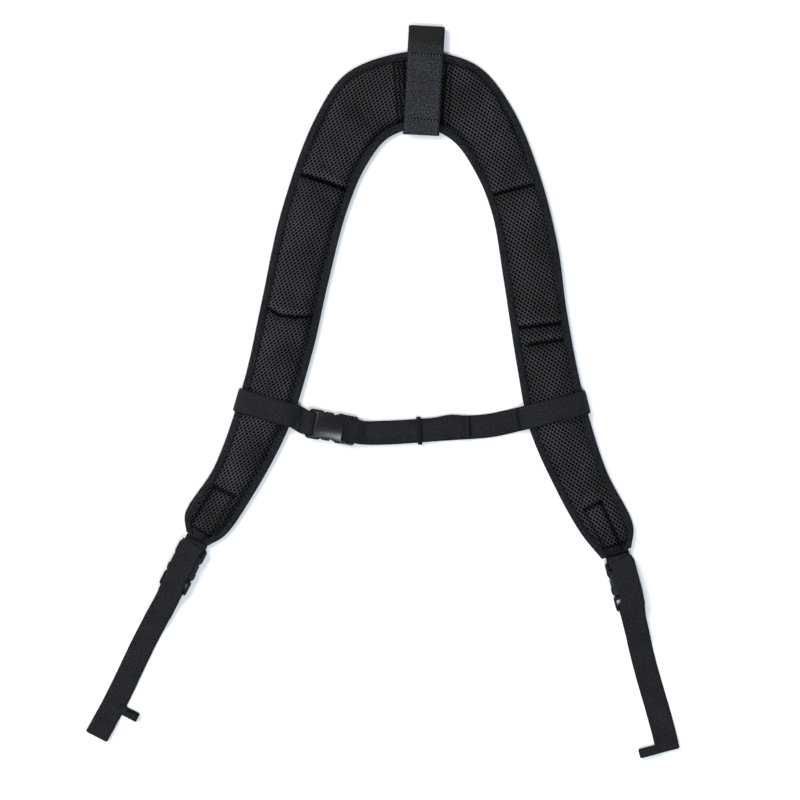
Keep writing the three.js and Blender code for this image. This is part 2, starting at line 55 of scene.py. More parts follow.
OUTER_EDGE = [
    (-208, -143), (-209, -124), (-178, -74), (-147, 16), (-129, 97), (-108, 193), (-72, 292), (-39, 339),
    (22, 361), (66, 359), (102, 344), (136, 300), (165, 228), (183, 156), (192, 90), (208, 7), (233, -77),
    (262, -137), (260, -160),
]
INNER_EDGE = [
    (-185, -158), (-167, -147), (-142, -112), (-101, -36), (-75, 46), (-59, 117), (-39, 194), (-19, 241),
    (5, 271), (41, 281), (72, 268), (97, 233), (114, 190), (126, 120), (140, 30), (153, -35), (180, -97),
    (207, -145), (229, -172),
]
SHOULDER_FOLD_Y = 222
CHEST_FOLD_Y = 78
PAD_SPAN = 70                                 # usual width of a pad
PAD_LIFT = 2                                  # floor to the underside of the binding
FLANGE = 8.6                                  # flat edge beside the dome
FLANGE_TOP = 5.2
DOME_TOP = 13.8
TAPE_LEG = 8                                  # how far the binding reaches in from the edge
TAPE_TOP = 6.1

TAB_FOOT = (39, 274)                          # neck webbing: its lower end, lean from +Y and sewn length
TAB_LEAN = 0.054
TAB_WIDTH = 38
TAB_SEWN = 88.5
LOOP_REACH = 25.5                             # hang loop past the sewn length, and its height
LOOP_TOP = 9.2

# Sewn joints and hems across the webbing, which lie in shadow: (plan line, half width, depth)
WEB_LINES = [
    ([(90.4, -20), (90.2, -48)], 1.0, 0.8),
    ([(39.6, -24), (39.9, -54)], 0.9, 0.6),
    ([(-87.6, -14), (-88.6, -40)], 0.9, 0.7),
    ([(138.4, -9), (140.4, -22), (143.2, -37)], 1.4, 0.9),
    ([(134.5, -14), (137.6, -37)], 0.8, 0.25),
    ([(-42, -14), (-45, -52)], 2.2, 0.7),
    ([(-36, -14), (-39, -52)], 7, 0.3),
    ([(-269.2, -331.3), (-256.8, -335.8)], 1.4, 0.85),
]
WEB = 25                                      # width and thickness of the main webbing
THICK = 1.5
REST = 0.85                                   # mid-height of a webbing that lies on the floor

STERNUM_BAR = (-78.8, -28.9)                  # bar of the chest socket, and the buckle's direction
STERNUM_TURN = -0.18
LEFT_SLEEVE = {"centre": (-121.8, -13.8), "turn": -0.285, "width": 61.5}
RIGHT_SLEEVE = {"centre": (180, -15.2), "turn": 0.25, "width": 62}
STRAP_ROUTE = [(-16, -39.4), (17, -38.3), (70, -34.6), (111, -31.6), (143.6, -24.6)]
STRAIGHT_TO = 52                              # along the chest strap, from the socket's bar
TAIL_END = 170
KEEPER_AT = 116.9
BAR_MID = 4.75                                # height of a buckle's bar, and radius of a web round it
BAR_LOOP = 3.15
LOOSE = 1.75                                  # how much further a loose web reaches past its bar
LOWER_SETS = {
    "left": {"bar": (-200, -159), "turn": -2.044, "length": 225, "pull": 187, "side": 1, "slip": 2.6},
    "right": {"bar": (247.3, -174.8), "turn": -1.319, "length": 206, "pull": 201, "side": -1, "slip": -2.6},
}


def to_frame(points):
    """Drawing millimetres to frame metres."""
    out = np.array(points, float)
    out[..., :2] += ORIGIN
    return out / 1000


# ------------------------------------------------------------------ curves

def lengths(points):
    """Length along a polyline at each of its points."""
    return np.concatenate([[0], np.cumsum(np.linalg.norm(np.diff(points, axis=0), axis=1))])


def catmull(points, per_span=60):
    """Dense centripetal Catmull-Rom curve through the points, evenly spaced along its length."""
    p = np.array(points, float)
    p = np.vstack([2 * p[0] - p[1], p, 2 * p[-1] - p[-2]])
    line = []
    for i in range(1, len(p) - 2):
        p0, p1, p2, p3 = p[i - 1:i + 3]
        d0, d1, d2 = (max(np.linalg.norm(b - a), 1e-9) ** 0.5 for a, b in ((p0, p1), (p1, p2), (p2, p3)))
        m1 = ((p1 - p0) / d0 - (p2 - p0) / (d0 + d1) + (p2 - p1) / d1) * d1
        m2 = ((p2 - p1) / d1 - (p3 - p1) / (d1 + d2) + (p3 - p2) / d2) * d1
        t = np.linspace(0, 1, per_span, endpoint=False)[:, None]
        line.append(p1 + m1 * t + (3 * (p2 - p1) - 2 * m1 - m2) * t ** 2
                    + (2 * (p1 - p2) + m1 + m2) * t ** 3)
    line.append(p[-2:-1])
    return np.vstack(line)


class Line:
    """Polyline read by its length."""

    def __init__(self, points):
        self.points = np.array(points, float)
        self.at = lengths(self.points)
        self.length = self.at[-1]

    def read(self, along):
        along = np.clip(along, 0, self.length)
        return np.stack([np.interp(along, self.at, values) for values in self.points.T], -1)

    def where(self, y, arm):
        """Length at which the left or right arm of a yoke edge passes a height."""
        half = len(self.points) // 2
        part = slice(0, half) if arm == "left" else slice(half, None)
        ys, at = self.points[part, 1], self.at[part]
        order = np.argsort(ys)
        return float(np.interp(y, ys[order], at[order]))


OUTER = Line(catmull(OUTER_EDGE))
INNER = Line(catmull(INNER_EDGE))


def smooth(x):
    """Smooth step from 0 to 1."""
    x = np.clip(x, 0, 1)
    return x * x * (3 - 2 * x)


def soft_noise(x, y, seed, scale):
    """Smooth noise from a few crossed waves, about -1 to 1; x and y in mm."""
    rng = np.random.default_rng(seed)
    total = np.zeros(np.broadcast(x, y).shape)
    for k in range(6):
        angle, phase = rng.uniform(0, 2 * math.pi, 2)
        size = scale * rng.uniform(0.6, 1.7)
        total += np.sin((x * math.cos(angle) + y * math.sin(angle)) * 2 * math.pi / size + phase)
    return total / 3.2


# ------------------------------------------------------------------ meshes

WEAVE_SCALE = 100                             # millimetres for one unit of a stored weave coordinate


def grid_faces(rows, columns, closed_columns=False, offset=0):
    """Quads of a grid of points."""
    wide = columns if closed_columns else columns - 1
    r, c = np.meshgrid(np.arange(rows - 1), np.arange(wide), indexing="ij")
    a = r * columns + c
    b = r * columns + (c + 1) % columns
    return (np.stack([a, b, b + columns, a + columns], -1).reshape(-1, 4) + offset).tolist()


def tube_faces(rings, count):
    """Faces of a tube of rings with count points each, closed at both ends."""
    last = (rings - 1) * count
    return grid_faces(rings, count, True) + [list(range(count))[::-1], [last + k for k in range(count)]]


def closed_sheet(top, low):
    """Points and faces of a sheet between two grids of points; the top's faces come first."""
    rows, columns = top.shape[:2]
    size = rows * columns
    faces = grid_faces(rows, columns) + [f[::-1] for f in grid_faces(rows, columns, offset=size)]
    rim = list(range(columns)) + [r * columns + columns - 1 for r in range(1, rows)]
    rim += [(rows - 1) * columns + c for c in range(columns - 2, -1, -1)]
    rim += [r * columns for r in range(rows - 2, 0, -1)]
    faces += [[b, a, a + size, b + size] for a, b in zip(rim, rim[1:] + rim[:1])]
    return np.vstack([top.reshape(-1, 3), low.reshape(-1, 3)]), faces


def make_mesh(name, points, faces, weave=None, materials=(), slots=None):
    """Mesh object from millimetres. weave is a pair of millimetre coordinates for each point."""
    mesh = bpy.data.meshes.new(name)
    mesh.from_pydata(to_frame(points).tolist(), [], faces)
    for material in materials:
        mesh.materials.append(material)
    if slots is not None:
        mesh.polygons.foreach_set("material_index", np.array(slots, np.int32))
    if weave is not None:
        layer = mesh.uv_layers.new(name="weave")
        corner = np.zeros(len(mesh.loops), np.int32)
        mesh.loops.foreach_get("vertex_index", corner)
        spread_out = np.array(weave, float)[corner] / WEAVE_SCALE
        layer.data.foreach_set("uv", spread_out.astype(np.float32).ravel())
    mesh.polygons.foreach_set("use_smooth", np.ones(len(mesh.polygons), bool))
    mesh.validate()
    mesh.update()
    obj = bpy.data.objects.new(name, mesh)
    bpy.context.scene.collection.objects.link(obj)
    return obj


def face_out(obj):
    """Turns the faces of a closed mesh outward."""
    bm = bmesh.new()
    bm.from_mesh(obj.data)
    bmesh.ops.recalc_face_normals(bm, faces=bm.faces)
    bm.to_mesh(obj.data)
    bm.free()
    return obj


def off_line(x, y, points):
    """Distance from every point to a line of points."""
    best = np.full(np.broadcast(x, y).shape, 1e9)
    for (ax, ay), (bx, by) in zip(points, points[1:]):
        dx, dy = bx - ax, by - ay
        t = np.clip(((x - ax) * dx + (y - ay) * dy) / (dx * dx + dy * dy), 0, 1)
        best = np.minimum(best, np.hypot(x - ax - t * dx, y - ay - t * dy))
    return best


def line_shade(x, y, lines):
    """Painted shade along sewn lines and edges: 1 away from them. Each line is (points, half width, depth).
    """
    share = np.ones(np.broadcast(x, y).shape)
    for points, half_width, depth in lines:
        share = share * (1 - depth * np.exp(-(off_line(x, y, points) / half_width) ** 2))
    return share


def set_shade(obj, values):
    """Stores painted light and shade, with a little random tone, at each point, for its material to multiply
    into its colour.
    """
    layer = obj.data.attributes.new("shade", "FLOAT", "POINT")
    layer.data.foreach_set("value", np.array(values, np.float32).ravel())


def band_profile(width, thick, edge):
    """Cross-section of a webbing: slightly thicker selvedges and rounded edges, as (across, up) points."""
    across = np.linspace(-1, 1, 15)
    full = np.sqrt(np.clip(1 - np.abs(across) ** 26, 0, 1))
    cord = 1 + edge * np.exp(-((np.abs(across) - 0.93) / 0.045) ** 2)
    up = thick / 2 * full * cord
    top = np.stack([across * width / 2, up], -1)
    bottom = np.stack([across[::-1] * width / 2, -up[::-1]], -1)
    return np.vstack([top, bottom[1:-1]])


def webbing(name, path, sides, width, thick, material, edge=0.16, ripple=0.12, seed=1):
    """Closed band along a 3-D path (mm). sides gives the direction across it at each point."""
    path, sides = np.array(path, float), np.array(sides, float)
    ahead = np.gradient(path, axis=0)
    ahead /= np.linalg.norm(ahead, axis=1)[:, None]
    sides = sides - (sides * ahead).sum(1)[:, None] * ahead
    sides /= np.linalg.norm(sides, axis=1)[:, None]
    up = np.cross(sides, ahead)
    along = lengths(path)
    profile = band_profile(width, thick, edge)
    count = len(profile)
    wave = 1 + 0.006 * soft_noise(along, along * 0, seed, 22)
    lift = ripple * soft_noise(along, along * 0, seed + 5, 38)
    points, weave = [], []
    for i, (spot, side, rise) in enumerate(zip(path, sides, up)):
        across = profile[:, 0] * wave[i]
        tilt = lift[i] * 0.3 * np.sin(profile[:, 0] * 0.16 + i * 0.02)
        points.append(spot + across[:, None] * side + (profile[:, 1] + tilt * 0.5)[:, None] * rise)
        weave.append(np.stack([profile[:, 0], np.full(count, along[i])], -1))
    points = np.vstack(points)
    x, y = points[:, 0], points[:, 1]
    obj = face_out(make_mesh(name, points, tube_faces(len(path), count), np.vstack(weave), [material]))
    # Painted shade along the WEB_LINES, times a little random tone
    set_shade(obj, line_shade(x, y, WEB_LINES) * (1 + 0.1 * soft_noise(x, y, seed + 9, 26)))
    return obj


def rounded(corners, radius, steps=6):
    """Path with every corner rounded by a quadratic curve."""
    corners = [np.array(c, float) for c in corners]
    path = [corners[0]]
    for before, here, after in zip(corners, corners[1:], corners[2:]):
        a, b = before - here, after - here
        reach = min(radius, np.linalg.norm(a) * 0.45, np.linalg.norm(b) * 0.45)
        start, end = here + a / np.linalg.norm(a) * reach, here + b / np.linalg.norm(b) * reach
        for t in np.linspace(0, 1, steps + 1):
            path.append((1 - t) ** 2 * start + 2 * t * (1 - t) * here + t * t * end)
    path.append(corners[-1])
    return np.array(path)


def bar_turn(along, side, radius=BAR_LOOP, height=BAR_MID, steps=12, bulge=1.0):
    """Half turn round a bar from below it to above it, loose where bulge is over 1."""
    angle = np.linspace(-math.pi / 2, math.pi / 2, steps + 1)
    return np.stack([along + side * radius * bulge * np.cos(angle), height + radius * np.sin(angle)], -1)


def even(path, step=1.2):
    """The same path in nearly even steps, its own corners kept."""
    path = np.array(path, float)
    out = [path[0]]
    for a, b in zip(path, path[1:]):
        pieces = max(1, int(math.ceil(np.linalg.norm(b - a) / step)))
        out += [a + (b - a) * (k + 1) / pieces for k in range(pieces)]
    return np.array(out)


def in_plan(path, plan):
    """(along, height) points laid out by plan(along) -> point and side direction, as 3-D path and sides."""
    spots, sides = [], []
    for along, height in path:
        spot, side = plan(along)
        spots.append([spot[0], spot[1], height])
        sides.append([side[0], side[1], 0])
    return np.array(spots), np.array(sides)


def axis_plan(origin, turn):
    """Plan along a straight axis."""
    c, s = math.cos(turn), math.sin(turn)
    return lambda along: ((origin[0] + c * along, origin[1] + s * along), (-s, c))


# ------------------------------------------------------------------ materials

class Nodes:
    """Small helper that adds and links shader nodes."""

    def __init__(self, name):
        self.material = bpy.data.materials.new(name)
        self.material.use_nodes = True
        self.tree = self.material.node_tree
        self.shader = self.tree.nodes["Principled BSDF"]

    def add(self, kind, **settings):
        node = self.tree.nodes.new(kind)
        for key, value in settings.items():
            setattr(node, key, value)
        return node

    def link(self, source, target):
        self.tree.links.new(source, target)

    def math(self, operation, a, b=0.0, c=None):
        node = self.add("ShaderNodeMath", operation=operation)
        for socket, value in zip(node.inputs, (a, b, c)):
            if value is None:
                continue
            if isinstance(value, (int, float)):
                socket.default_value = value
            else:
                self.link(value, socket)
        return node.outputs[0]

    def times(self, a, b):
        return self.math("MULTIPLY", a, b)

    def plus(self, a, b):
        return self.math("ADD", a, b)

    def scaled(self, value, gain=0.5, start=0.5):
        return self.math("MULTIPLY_ADD", value, gain, start)

    def centred(self, noise, gain, middle=0.5):
        """Noise with its swing about its own middle made larger."""
        return self.scaled(self.math("SUBTRACT", noise, 0.5), gain, middle)

    def wave(self, value, period):
        return self.math("SINE", self.times(value, 2 * math.pi / period))

    def step(self, value, low, high):
        """Smooth step from 0 at low to 1 at high."""
        node = self.add("ShaderNodeMapRange", interpolation_type="SMOOTHSTEP")
        node.inputs["From Min"].default_value = low
        node.inputs["From Max"].default_value = high
        self.link(value, node.inputs["Value"])
        return node.outputs[0]

    def weave(self):
        """Millimetre coordinates of the cloth: across, along, and both as a vector."""
        uv = self.add("ShaderNodeUVMap", uv_map="weave")
        scale = self.add("ShaderNodeVectorMath", operation="SCALE")
        scale.inputs["Scale"].default_value = WEAVE_SCALE
        self.link(uv.outputs[0], scale.inputs[0])
        split = self.add("ShaderNodeSeparateXYZ")
        self.link(scale.outputs[0], split.inputs[0])
        return split.outputs[0], split.outputs[1], scale.outputs[0]

    def noise(self, vector, scale, detail=3.0, rough=0.55):
        node = self.add("ShaderNodeTexNoise")
        node.inputs["Scale"].default_value = scale
        node.inputs["Detail"].default_value = detail
        node.inputs["Roughness"].default_value = rough
        self.link(vector, node.inputs["Vector"])
        return node.outputs["Fac"]

    def place(self):
        """Position on the object at rest."""
        return self.add("ShaderNodeTexCoord").outputs["Object"]

    def ramp(self, value, stops):
        node = self.add("ShaderNodeValToRGB")
        elements = node.color_ramp.elements
        while len(elements) < len(stops):
            elements.new(0.5)
        for element, (position, color) in zip(elements, stops):
            element.position = position
            element.color = (*color, 1) if len(color) == 3 else color
        self.link(value, node.inputs[0])
        return node.outputs[0]

    def mix(self, factor, a, b, blend="MIX"):
        node = self.add("ShaderNodeMix", data_type="RGBA", blend_type=blend)
        for socket, value in ((node.inputs[0], factor), (node.inputs[6], a), (node.inputs[7], b)):
            if isinstance(value, (int, float)):
                socket.default_value = value
            elif isinstance(value, tuple):
                socket.default_value = (*value, 1)
            else:
                self.link(value, socket)
        return node.outputs[2]

    def bump(self, height, strength, distance):
        node = self.add("ShaderNodeBump")
        node.inputs["Strength"].default_value = strength
        node.inputs["Distance"].default_value = distance
        self.link(height, node.inputs["Height"])
        self.link(node.outputs[0], self.shader.inputs["Normal"])

    def shaded(self, color):
        """Colour times the painted light and shade stored with the mesh."""
        gray = self.add("ShaderNodeCombineColor")
        for socket in gray.inputs[:3]:
            self.link(self.add("ShaderNodeAttribute", attribute_name="shade").outputs["Fac"], socket)
        return self.mix(1.0, color, gray.outputs[0], "MULTIPLY")

    def paint(self, color):
        self.link(color, self.shader.inputs["Base Color"])

    def rough(self, value, low, high):
        """Roughness between two levels."""
        node = self.add("ShaderNodeMapRange")
        node.inputs["To Min"].default_value = low
        node.inputs["To Max"].default_value = high
        self.link(value, node.inputs["Value"])
        self.link(node.outputs[0], self.shader.inputs["Roughness"])

    def cloth(self, sheen=0.02, specular=0.1):
        self.shader.inputs["Sheen Weight"].default_value = sheen
        self.shader.inputs["Sheen Roughness"].default_value = 0.5
        self.shader.inputs["Sheen Tint"].default_value = (0.75, 0.8, 0.9, 1)
        self.shader.inputs["Specular IOR Level"].default_value = specular


def hue(r, g, b):
    """Linear colour from 8-bit sRGB numbers."""
    return tuple(((v / 255 + 0.055) / 1.055) ** 2.4 if v > 10 else v / 255 / 12.92 for v in (r, g, b))


PITCH = 3.3                                   # one step of the stored coordinates from row to row, mm
BLACK, WHITE = (0, 0, 0), (1, 1, 1)


def air_mesh():
    """Spacer mesh: staggered oval holes, painted near black as the shade inside them, between smooth knitted
    ribs.
    """
    n = Nodes("air_mesh")
    first, second, vector = n.weave()          # one PITCH for each row of holes, two ways
    wobble = n.centred(n.noise(vector, 0.12, 2), 1.2, 0.0)
    a = n.times(n.plus(first, wobble), 2 * math.pi / PITCH)
    b = n.times(n.plus(second, wobble), 2 * math.pi / PITCH)
    waves = n.plus(n.math("COSINE", a), n.times(n.math("COSINE", b), 0.75))
    waves = n.plus(waves, n.times(n.math("COSINE", n.plus(a, b)), 0.35))
    frayed = n.plus(waves, n.centred(n.noise(vector, 1.3, 2, 0.7), 1.6, 0.0))
    thread_share = n.step(frayed, 0.6, -0.35)
    strands = n.math("SINE", n.times(n.plus(first, n.times(second, 0.4)), 5.5))
    patch = n.noise(n.place(), 26, 3)
    yarn = n.mix(n.scaled(strands), hue(28, 29, 31), hue(74, 76, 81))
    yarn = n.mix(n.centred(patch, 3.2), n.mix(0.5, yarn, hue(42, 38, 33)), yarn)
    # The holes are painted near black: painted shade inside the mesh
    n.paint(n.shaded(n.mix(thread_share, hue(1, 1, 2), yarn)))
    n.rough(thread_share, 0.97, 0.66)
    n.bump(n.plus(thread_share, n.times(strands, 0.08)), 0.85, 0.0012)
    n.cloth(sheen=0.01, specular=0.02)
    return n.material


def ribbed(name, low, high, rib, fine, speck=0.0, strength=0.5, twill=0.0, wear=None, edge=None, grit=1.0):
    """Woven tape: ribs across it, finer yarns along it, lighter crowns, and darker along its rounded edges
    past `edge`.
    """
    n = Nodes(name)
    across, along, vector = n.weave()
    ribs_high = n.scaled(n.wave(n.plus(along, n.times(across, twill)), rib))
    check = n.times(ribs_high, n.scaled(n.wave(across, fine)))
    fuzz = n.noise(vector, 0.55, 2, 0.8)
    weight = n.scaled(check, 0.35, n.times(n.centred(fuzz, 5.5 * grit), 0.75))
    color = n.mix(weight, low, high)
    color = n.mix(n.times(n.noise(n.place(), 34, 3), 0.55), color, low)
    if speck:
        dots = n.ramp(n.noise(vector, 1.1, 1), [(0.0, BLACK), (0.6, BLACK), (0.68, WHITE)])
        color = n.mix(n.times(dots, speck), color, tuple(min(1, 2.1 * h) for h in high))
    if edge:
        rim = n.step(n.math("ABSOLUTE", across), edge - 1.3, edge)
        color = n.mix(n.times(rim, 0.92), color, tuple(0.35 * h for h in low))
    if wear:
        color = wear(n, color)
    n.paint(n.shaded(color))
    n.rough(fuzz, 0.62, 0.9)
    n.bump(n.plus(check, n.times(fuzz, 0.35)), strength, 0.0005)
    n.cloth()
    return n.material


def plain_weave(name, low, high, pitch):
    """Plain cloth of the pads' back."""
    n = Nodes(name)
    across, along, vector = n.weave()
    check = n.scaled(n.times(n.wave(across, pitch), n.wave(along, pitch)))
    fuzz = n.noise(vector, 0.6, 4)
    n.paint(n.mix(n.scaled(check, 0.5, n.times(fuzz, 0.4)), low, high))
    n.rough(fuzz, 0.6, 0.85)
    n.bump(n.plus(check, fuzz), 0.4, 0.0004)
    n.cloth()
    return n.material


def moulded(name, shine, low_rough, high_rough):
    """Black acetal: fine grain, faint scratches and rubbed edges."""
    n = Nodes(name)
    spot = n.place()
    grain = n.noise(spot, 2600, 2)
    broad = n.noise(spot, 60, 3)
    stretch = n.add("ShaderNodeMapping")
    stretch.inputs["Scale"].default_value = (1, 9, 1)
    stretch.inputs["Rotation"].default_value = (0, 0, 0.6)
    n.link(spot, stretch.inputs["Vector"])
    scratch = n.ramp(n.noise(stretch.outputs[0], 150, 2), [(0.0, BLACK), (0.63, BLACK), (0.7, WHITE)])
    convex = n.add("ShaderNodeNewGeometry").outputs["Pointiness"]
    rub = n.ramp(convex, [(0.0, BLACK), (0.53, BLACK), (0.6, WHITE)])
    color = n.mix(broad, hue(7, 8, 11), hue(13, 16, 21))
    n.paint(n.mix(n.times(rub, 0.3), color, hue(52, 58, 68)))
    n.rough(n.plus(n.times(broad, 0.5), n.times(scratch, 0.5)), low_rough, high_rough)
    n.bump(n.plus(grain, n.times(scratch, -0.6)), 0.12, 0.0002)
    n.shader.inputs["Specular IOR Level"].default_value = shine
    return n.material


def thread(name, low, high):
    """Twisted sewing thread."""
    n = Nodes(name)
    twist = n.noise(n.place(), 1500, 2)
    n.paint(n.mix(twist, low, high))
    n.rough(twist, 0.45, 0.7)
    n.bump(twist, 0.3, 0.0002)
    n.cloth(specular=0.12)
    return n.material


def tab_wear(n, color):
    """The hang loop's end is darker and browner than the flat part over the pad."""
    split = n.add("ShaderNodeSeparateXYZ")
    n.link(n.place(), split.inputs[0])
    return n.mix(n.step(split.outputs[1], 0.352, 0.372), color, n.mix(0.7, color, hue(25, 20, 14)))


AIR_MESH = air_mesh()
BINDING = ribbed("binding", hue(5, 5, 6), hue(46, 46, 50), 1.05, 0.9, strength=0.4, grit=1.5)
WEBBING = ribbed("webbing", hue(14, 14, 15), hue(42, 43, 46), 1.5, 1.15, speck=0.2, strength=0.6, edge=12.5)
TAB = ribbed("tab_webbing", hue(15, 16, 18), hue(65, 67, 72), 1.25, 0.95, twill=0.9, speck=0.4, strength=0.55,
             wear=tab_wear, edge=19, grit=1.3)
ELASTIC = ribbed("elastic", hue(10, 10, 12), hue(34, 34, 38), 1.2, 0.6, strength=0.5)
BACK_CLOTH = plain_weave("back_fabric", hue(20, 20, 23), hue(38, 39, 43), 0.9)
PLASTIC = moulded("buckle_plastic", 0.46, 0.17, 0.38)
DULL_PLASTIC = moulded("dull_buckle_plastic", 0.14, 0.42, 0.6)
THREAD = thread("thread", hue(6, 6, 7), hue(20, 20, 22))
LIGHT_THREAD = thread("light_thread", hue(84, 86, 92), hue(132, 134, 140))
# Dark dashes for the needle holes: painted shade in the holes
NEEDLE = thread("needle_hole", hue(3, 3, 4), hue(9, 9, 11))

# ------------------------------------------------------------------ pads

ARM_END = 4                                   # last of an arm's stops, from the neck on
COVER_STEP = 1.2                              # between the ribs of the cover's points
COARSE_STEP = 6
CUT_FADE = 32                                 # over which the cloth run fades out towards a cut
START_FULL = 0.8                              # how full the foam is before the cloth run
CLOTH_FRAMES = 20
MOST_MOVED = 5                                # limit of the cloth run's effect
CLOTH = {"quality": 6, "mass": 0.15, "tension_stiffness": 6, "compression_stiffness": 6, "shear_stiffness": 3,
         "bending_stiffness": 0.15, "use_pressure": True, "uniform_pressure_force": 4,
         "vertex_group_mass": "held", "shrink_min": -0.035}

# Sewn creases, as (x, y) lines in plan; the pad is thin there, down to `floor` of its thickness, and swells
# over `above` and `below` the line. `dark` is half the width of the painted shade in the valley.
CREASES = {
    "left": [{"line": [(-92, 234.5), (-62, 224.5), (-33, 214)], "above": 5.5, "below": 8, "floor": 0.04,
              "dark": 1.7},
             {"line": [(-130, 97), (-118, 89.5), (-108, 84.5), (-94, 82.5), (-66, 84.5)], "above": 3.6,
              "below": 10, "floor": 0.0}],
    "right": [{"line": [(108, 209.5), (135, 216.5), (167, 224.5)], "above": 5.5, "below": 8, "floor": 0.04},
              {"line": [(132, 70.8), (160, 73.5), (192, 77)], "above": 4, "below": 7, "floor": 0.0},
              {"line": [(151, 53.4), (165, 55.6), (190, 59.7)], "above": 5, "below": 8, "floor": 0.1}],
}

# Box stitches through the pad's end, where the strap's webbing is sewn to it
PATCHES = {
    "left": [[(-178, -95.5), (-157.5, -105.5), (-184.8, -150.7)], [(-178, -95.5), (-204.8, -138.1)]],
    "right": [[(227.9, -111.8), (211.1, -120.2), (236.3, -170.6)], [(227.9, -111.8), (249.9, -162.2)]],
}

# Quilting seams beside the neck webbing, painted as lines of shade in the mesh: (line, half width, depth)
NECK_SEAMS = [([(10.2, 352), (15.4, 286)], 1.3, 0.95), ([(15, 352), (19.4, 284)], 1.3, 0.95),
              ([(20.6, 352), (23.2, 284)], 2.2, 0.95), ([(65.6, 350), (60.4, 284)], 2.6, 0.95),
              ([(71, 350), (67, 284)], 1.3, 0.75)]


def crease_gap(crease, x, y):
    """Distance in Y from a crease's line, which is flat past its ends."""
    line = np.array(crease["line"], float)
    return y - np.interp(x, line[:, 0], line[:, 1])


def crease_share(x, y, arm):
    """Thickness share of the pad near the creases, 1 away from them."""
    share = np.ones(np.broadcast(x, y).shape)
    for crease in CREASES[arm]:
        gap = crease_gap(crease, x, y)
        reach = np.where(gap > 0, crease["above"], crease["below"])
        swell = np.sqrt(np.clip(1 - (1 - np.clip(np.abs(gap) / reach, 0, 1)) ** 2, 0, 1))
        share = np.minimum(share, crease["floor"] + (1 - crease["floor"]) * swell)
    for patch in PATCHES[arm]:
        share = share * (1 - 0.55 * np.exp(-(off_line(x, y, patch) / 2.1) ** 2))
    return share


def middle_of(line):
    """Length at which an edge crosses the neck webbing's line."""
    x, y = TAB_FOOT
    px, py = line.points[:, 0], line.points[:, 1]
    off = (px - x) * math.cos(TAB_LEAN) - (py - y) * math.sin(TAB_LEAN)
    high = py > 200
    return line.at[np.where(high)[0][np.argmin(np.abs(off[high]))]]


def matched(arm):
    """Lengths along both edges from the middle of the neck to the arm's end, passing the folds together."""
    stops = [(middle_of(OUTER), middle_of(INNER))]
    for y in (SHOULDER_FOLD_Y, (SHOULDER_FOLD_Y + CHEST_FOLD_Y) / 2, CHEST_FOLD_Y):
        stops.append((OUTER.where(y, arm), INNER.where(y, arm)))
    stops.append({"left": (0, 0), "right": (OUTER.length, INNER.length)}[arm])
    return np.array(stops, float)


STOPS = {arm: matched(arm) for arm in ("left", "right")}


def ribs(arm, first, last, spacing):
    """Outer and inner edge points between two of the arm's stops, evenly spaced."""
    outs, ins = [], []
    for i, (a, b) in enumerate(zip(STOPS[arm][first:last], STOPS[arm][first + 1:last + 1]), first):
        def edges(t):
            return OUTER.read(a[0] + (b[0] - a[0]) * t), INNER.read(a[1] + (b[1] - a[1]) * t)

        middle = sum(edges(np.linspace(0, 1, 60))) / 2
        t = np.linspace(0, 1, max(3, int(round(lengths(middle)[-1] / spacing)) + 1))
        out, inn = edges(t if i == last - 1 else t[:-1])
        outs.append(out)
        ins.append(inn)
    return np.vstack(outs), np.vstack(ins)


def edge_and_inward(arm, side, first, last, spacing):
    """Points along the outer or inner edge, and from each the direction across the pad."""
    near, far = ribs(arm, first, last, spacing)
    if side == "inner":
        near, far = far, near
    return near, (far - near) / np.linalg.norm(far - near, axis=1)[:, None]


def shares_across(inset, count):
    """Shares of the way across a pad, from just inside one edge to just inside the other."""
    return np.linspace(inset / PAD_SPAN, 1 - inset / PAD_SPAN, count)


def to_end(out, inn):
    """Length from each rib to the last one."""
    length = lengths((out + inn) / 2)
    return length[-1] - length


def pad_height(out, inn, across, arm, ended, full=1.0):
    """Plan points at each rib and share across, the pad's height over its flange, and its thickness share."""
    width = np.linalg.norm(inn - out, axis=1)[:, None]
    spot = out[:, None, :] + (inn - out)[:, None, :] * across[None, :, None]
    reach = width / 2 - FLANGE
    off = (across[None, :] - 0.5) * width
    dome = np.sqrt(np.clip(1 - (np.abs(off) / reach) ** 2.5, 0, 1)) ** 1.05
    share = crease_share(spot[..., 0], spot[..., 1], arm)
    if ended:
        from_end = to_end(out, inn)[:, None]
        share = np.minimum(share, 0.1 + 0.9 * np.sin(np.pi / 2 * np.clip(from_end / 15, 0, 1)))
    return spot, dome * share * full * (DOME_TOP - FLANGE_TOP), share


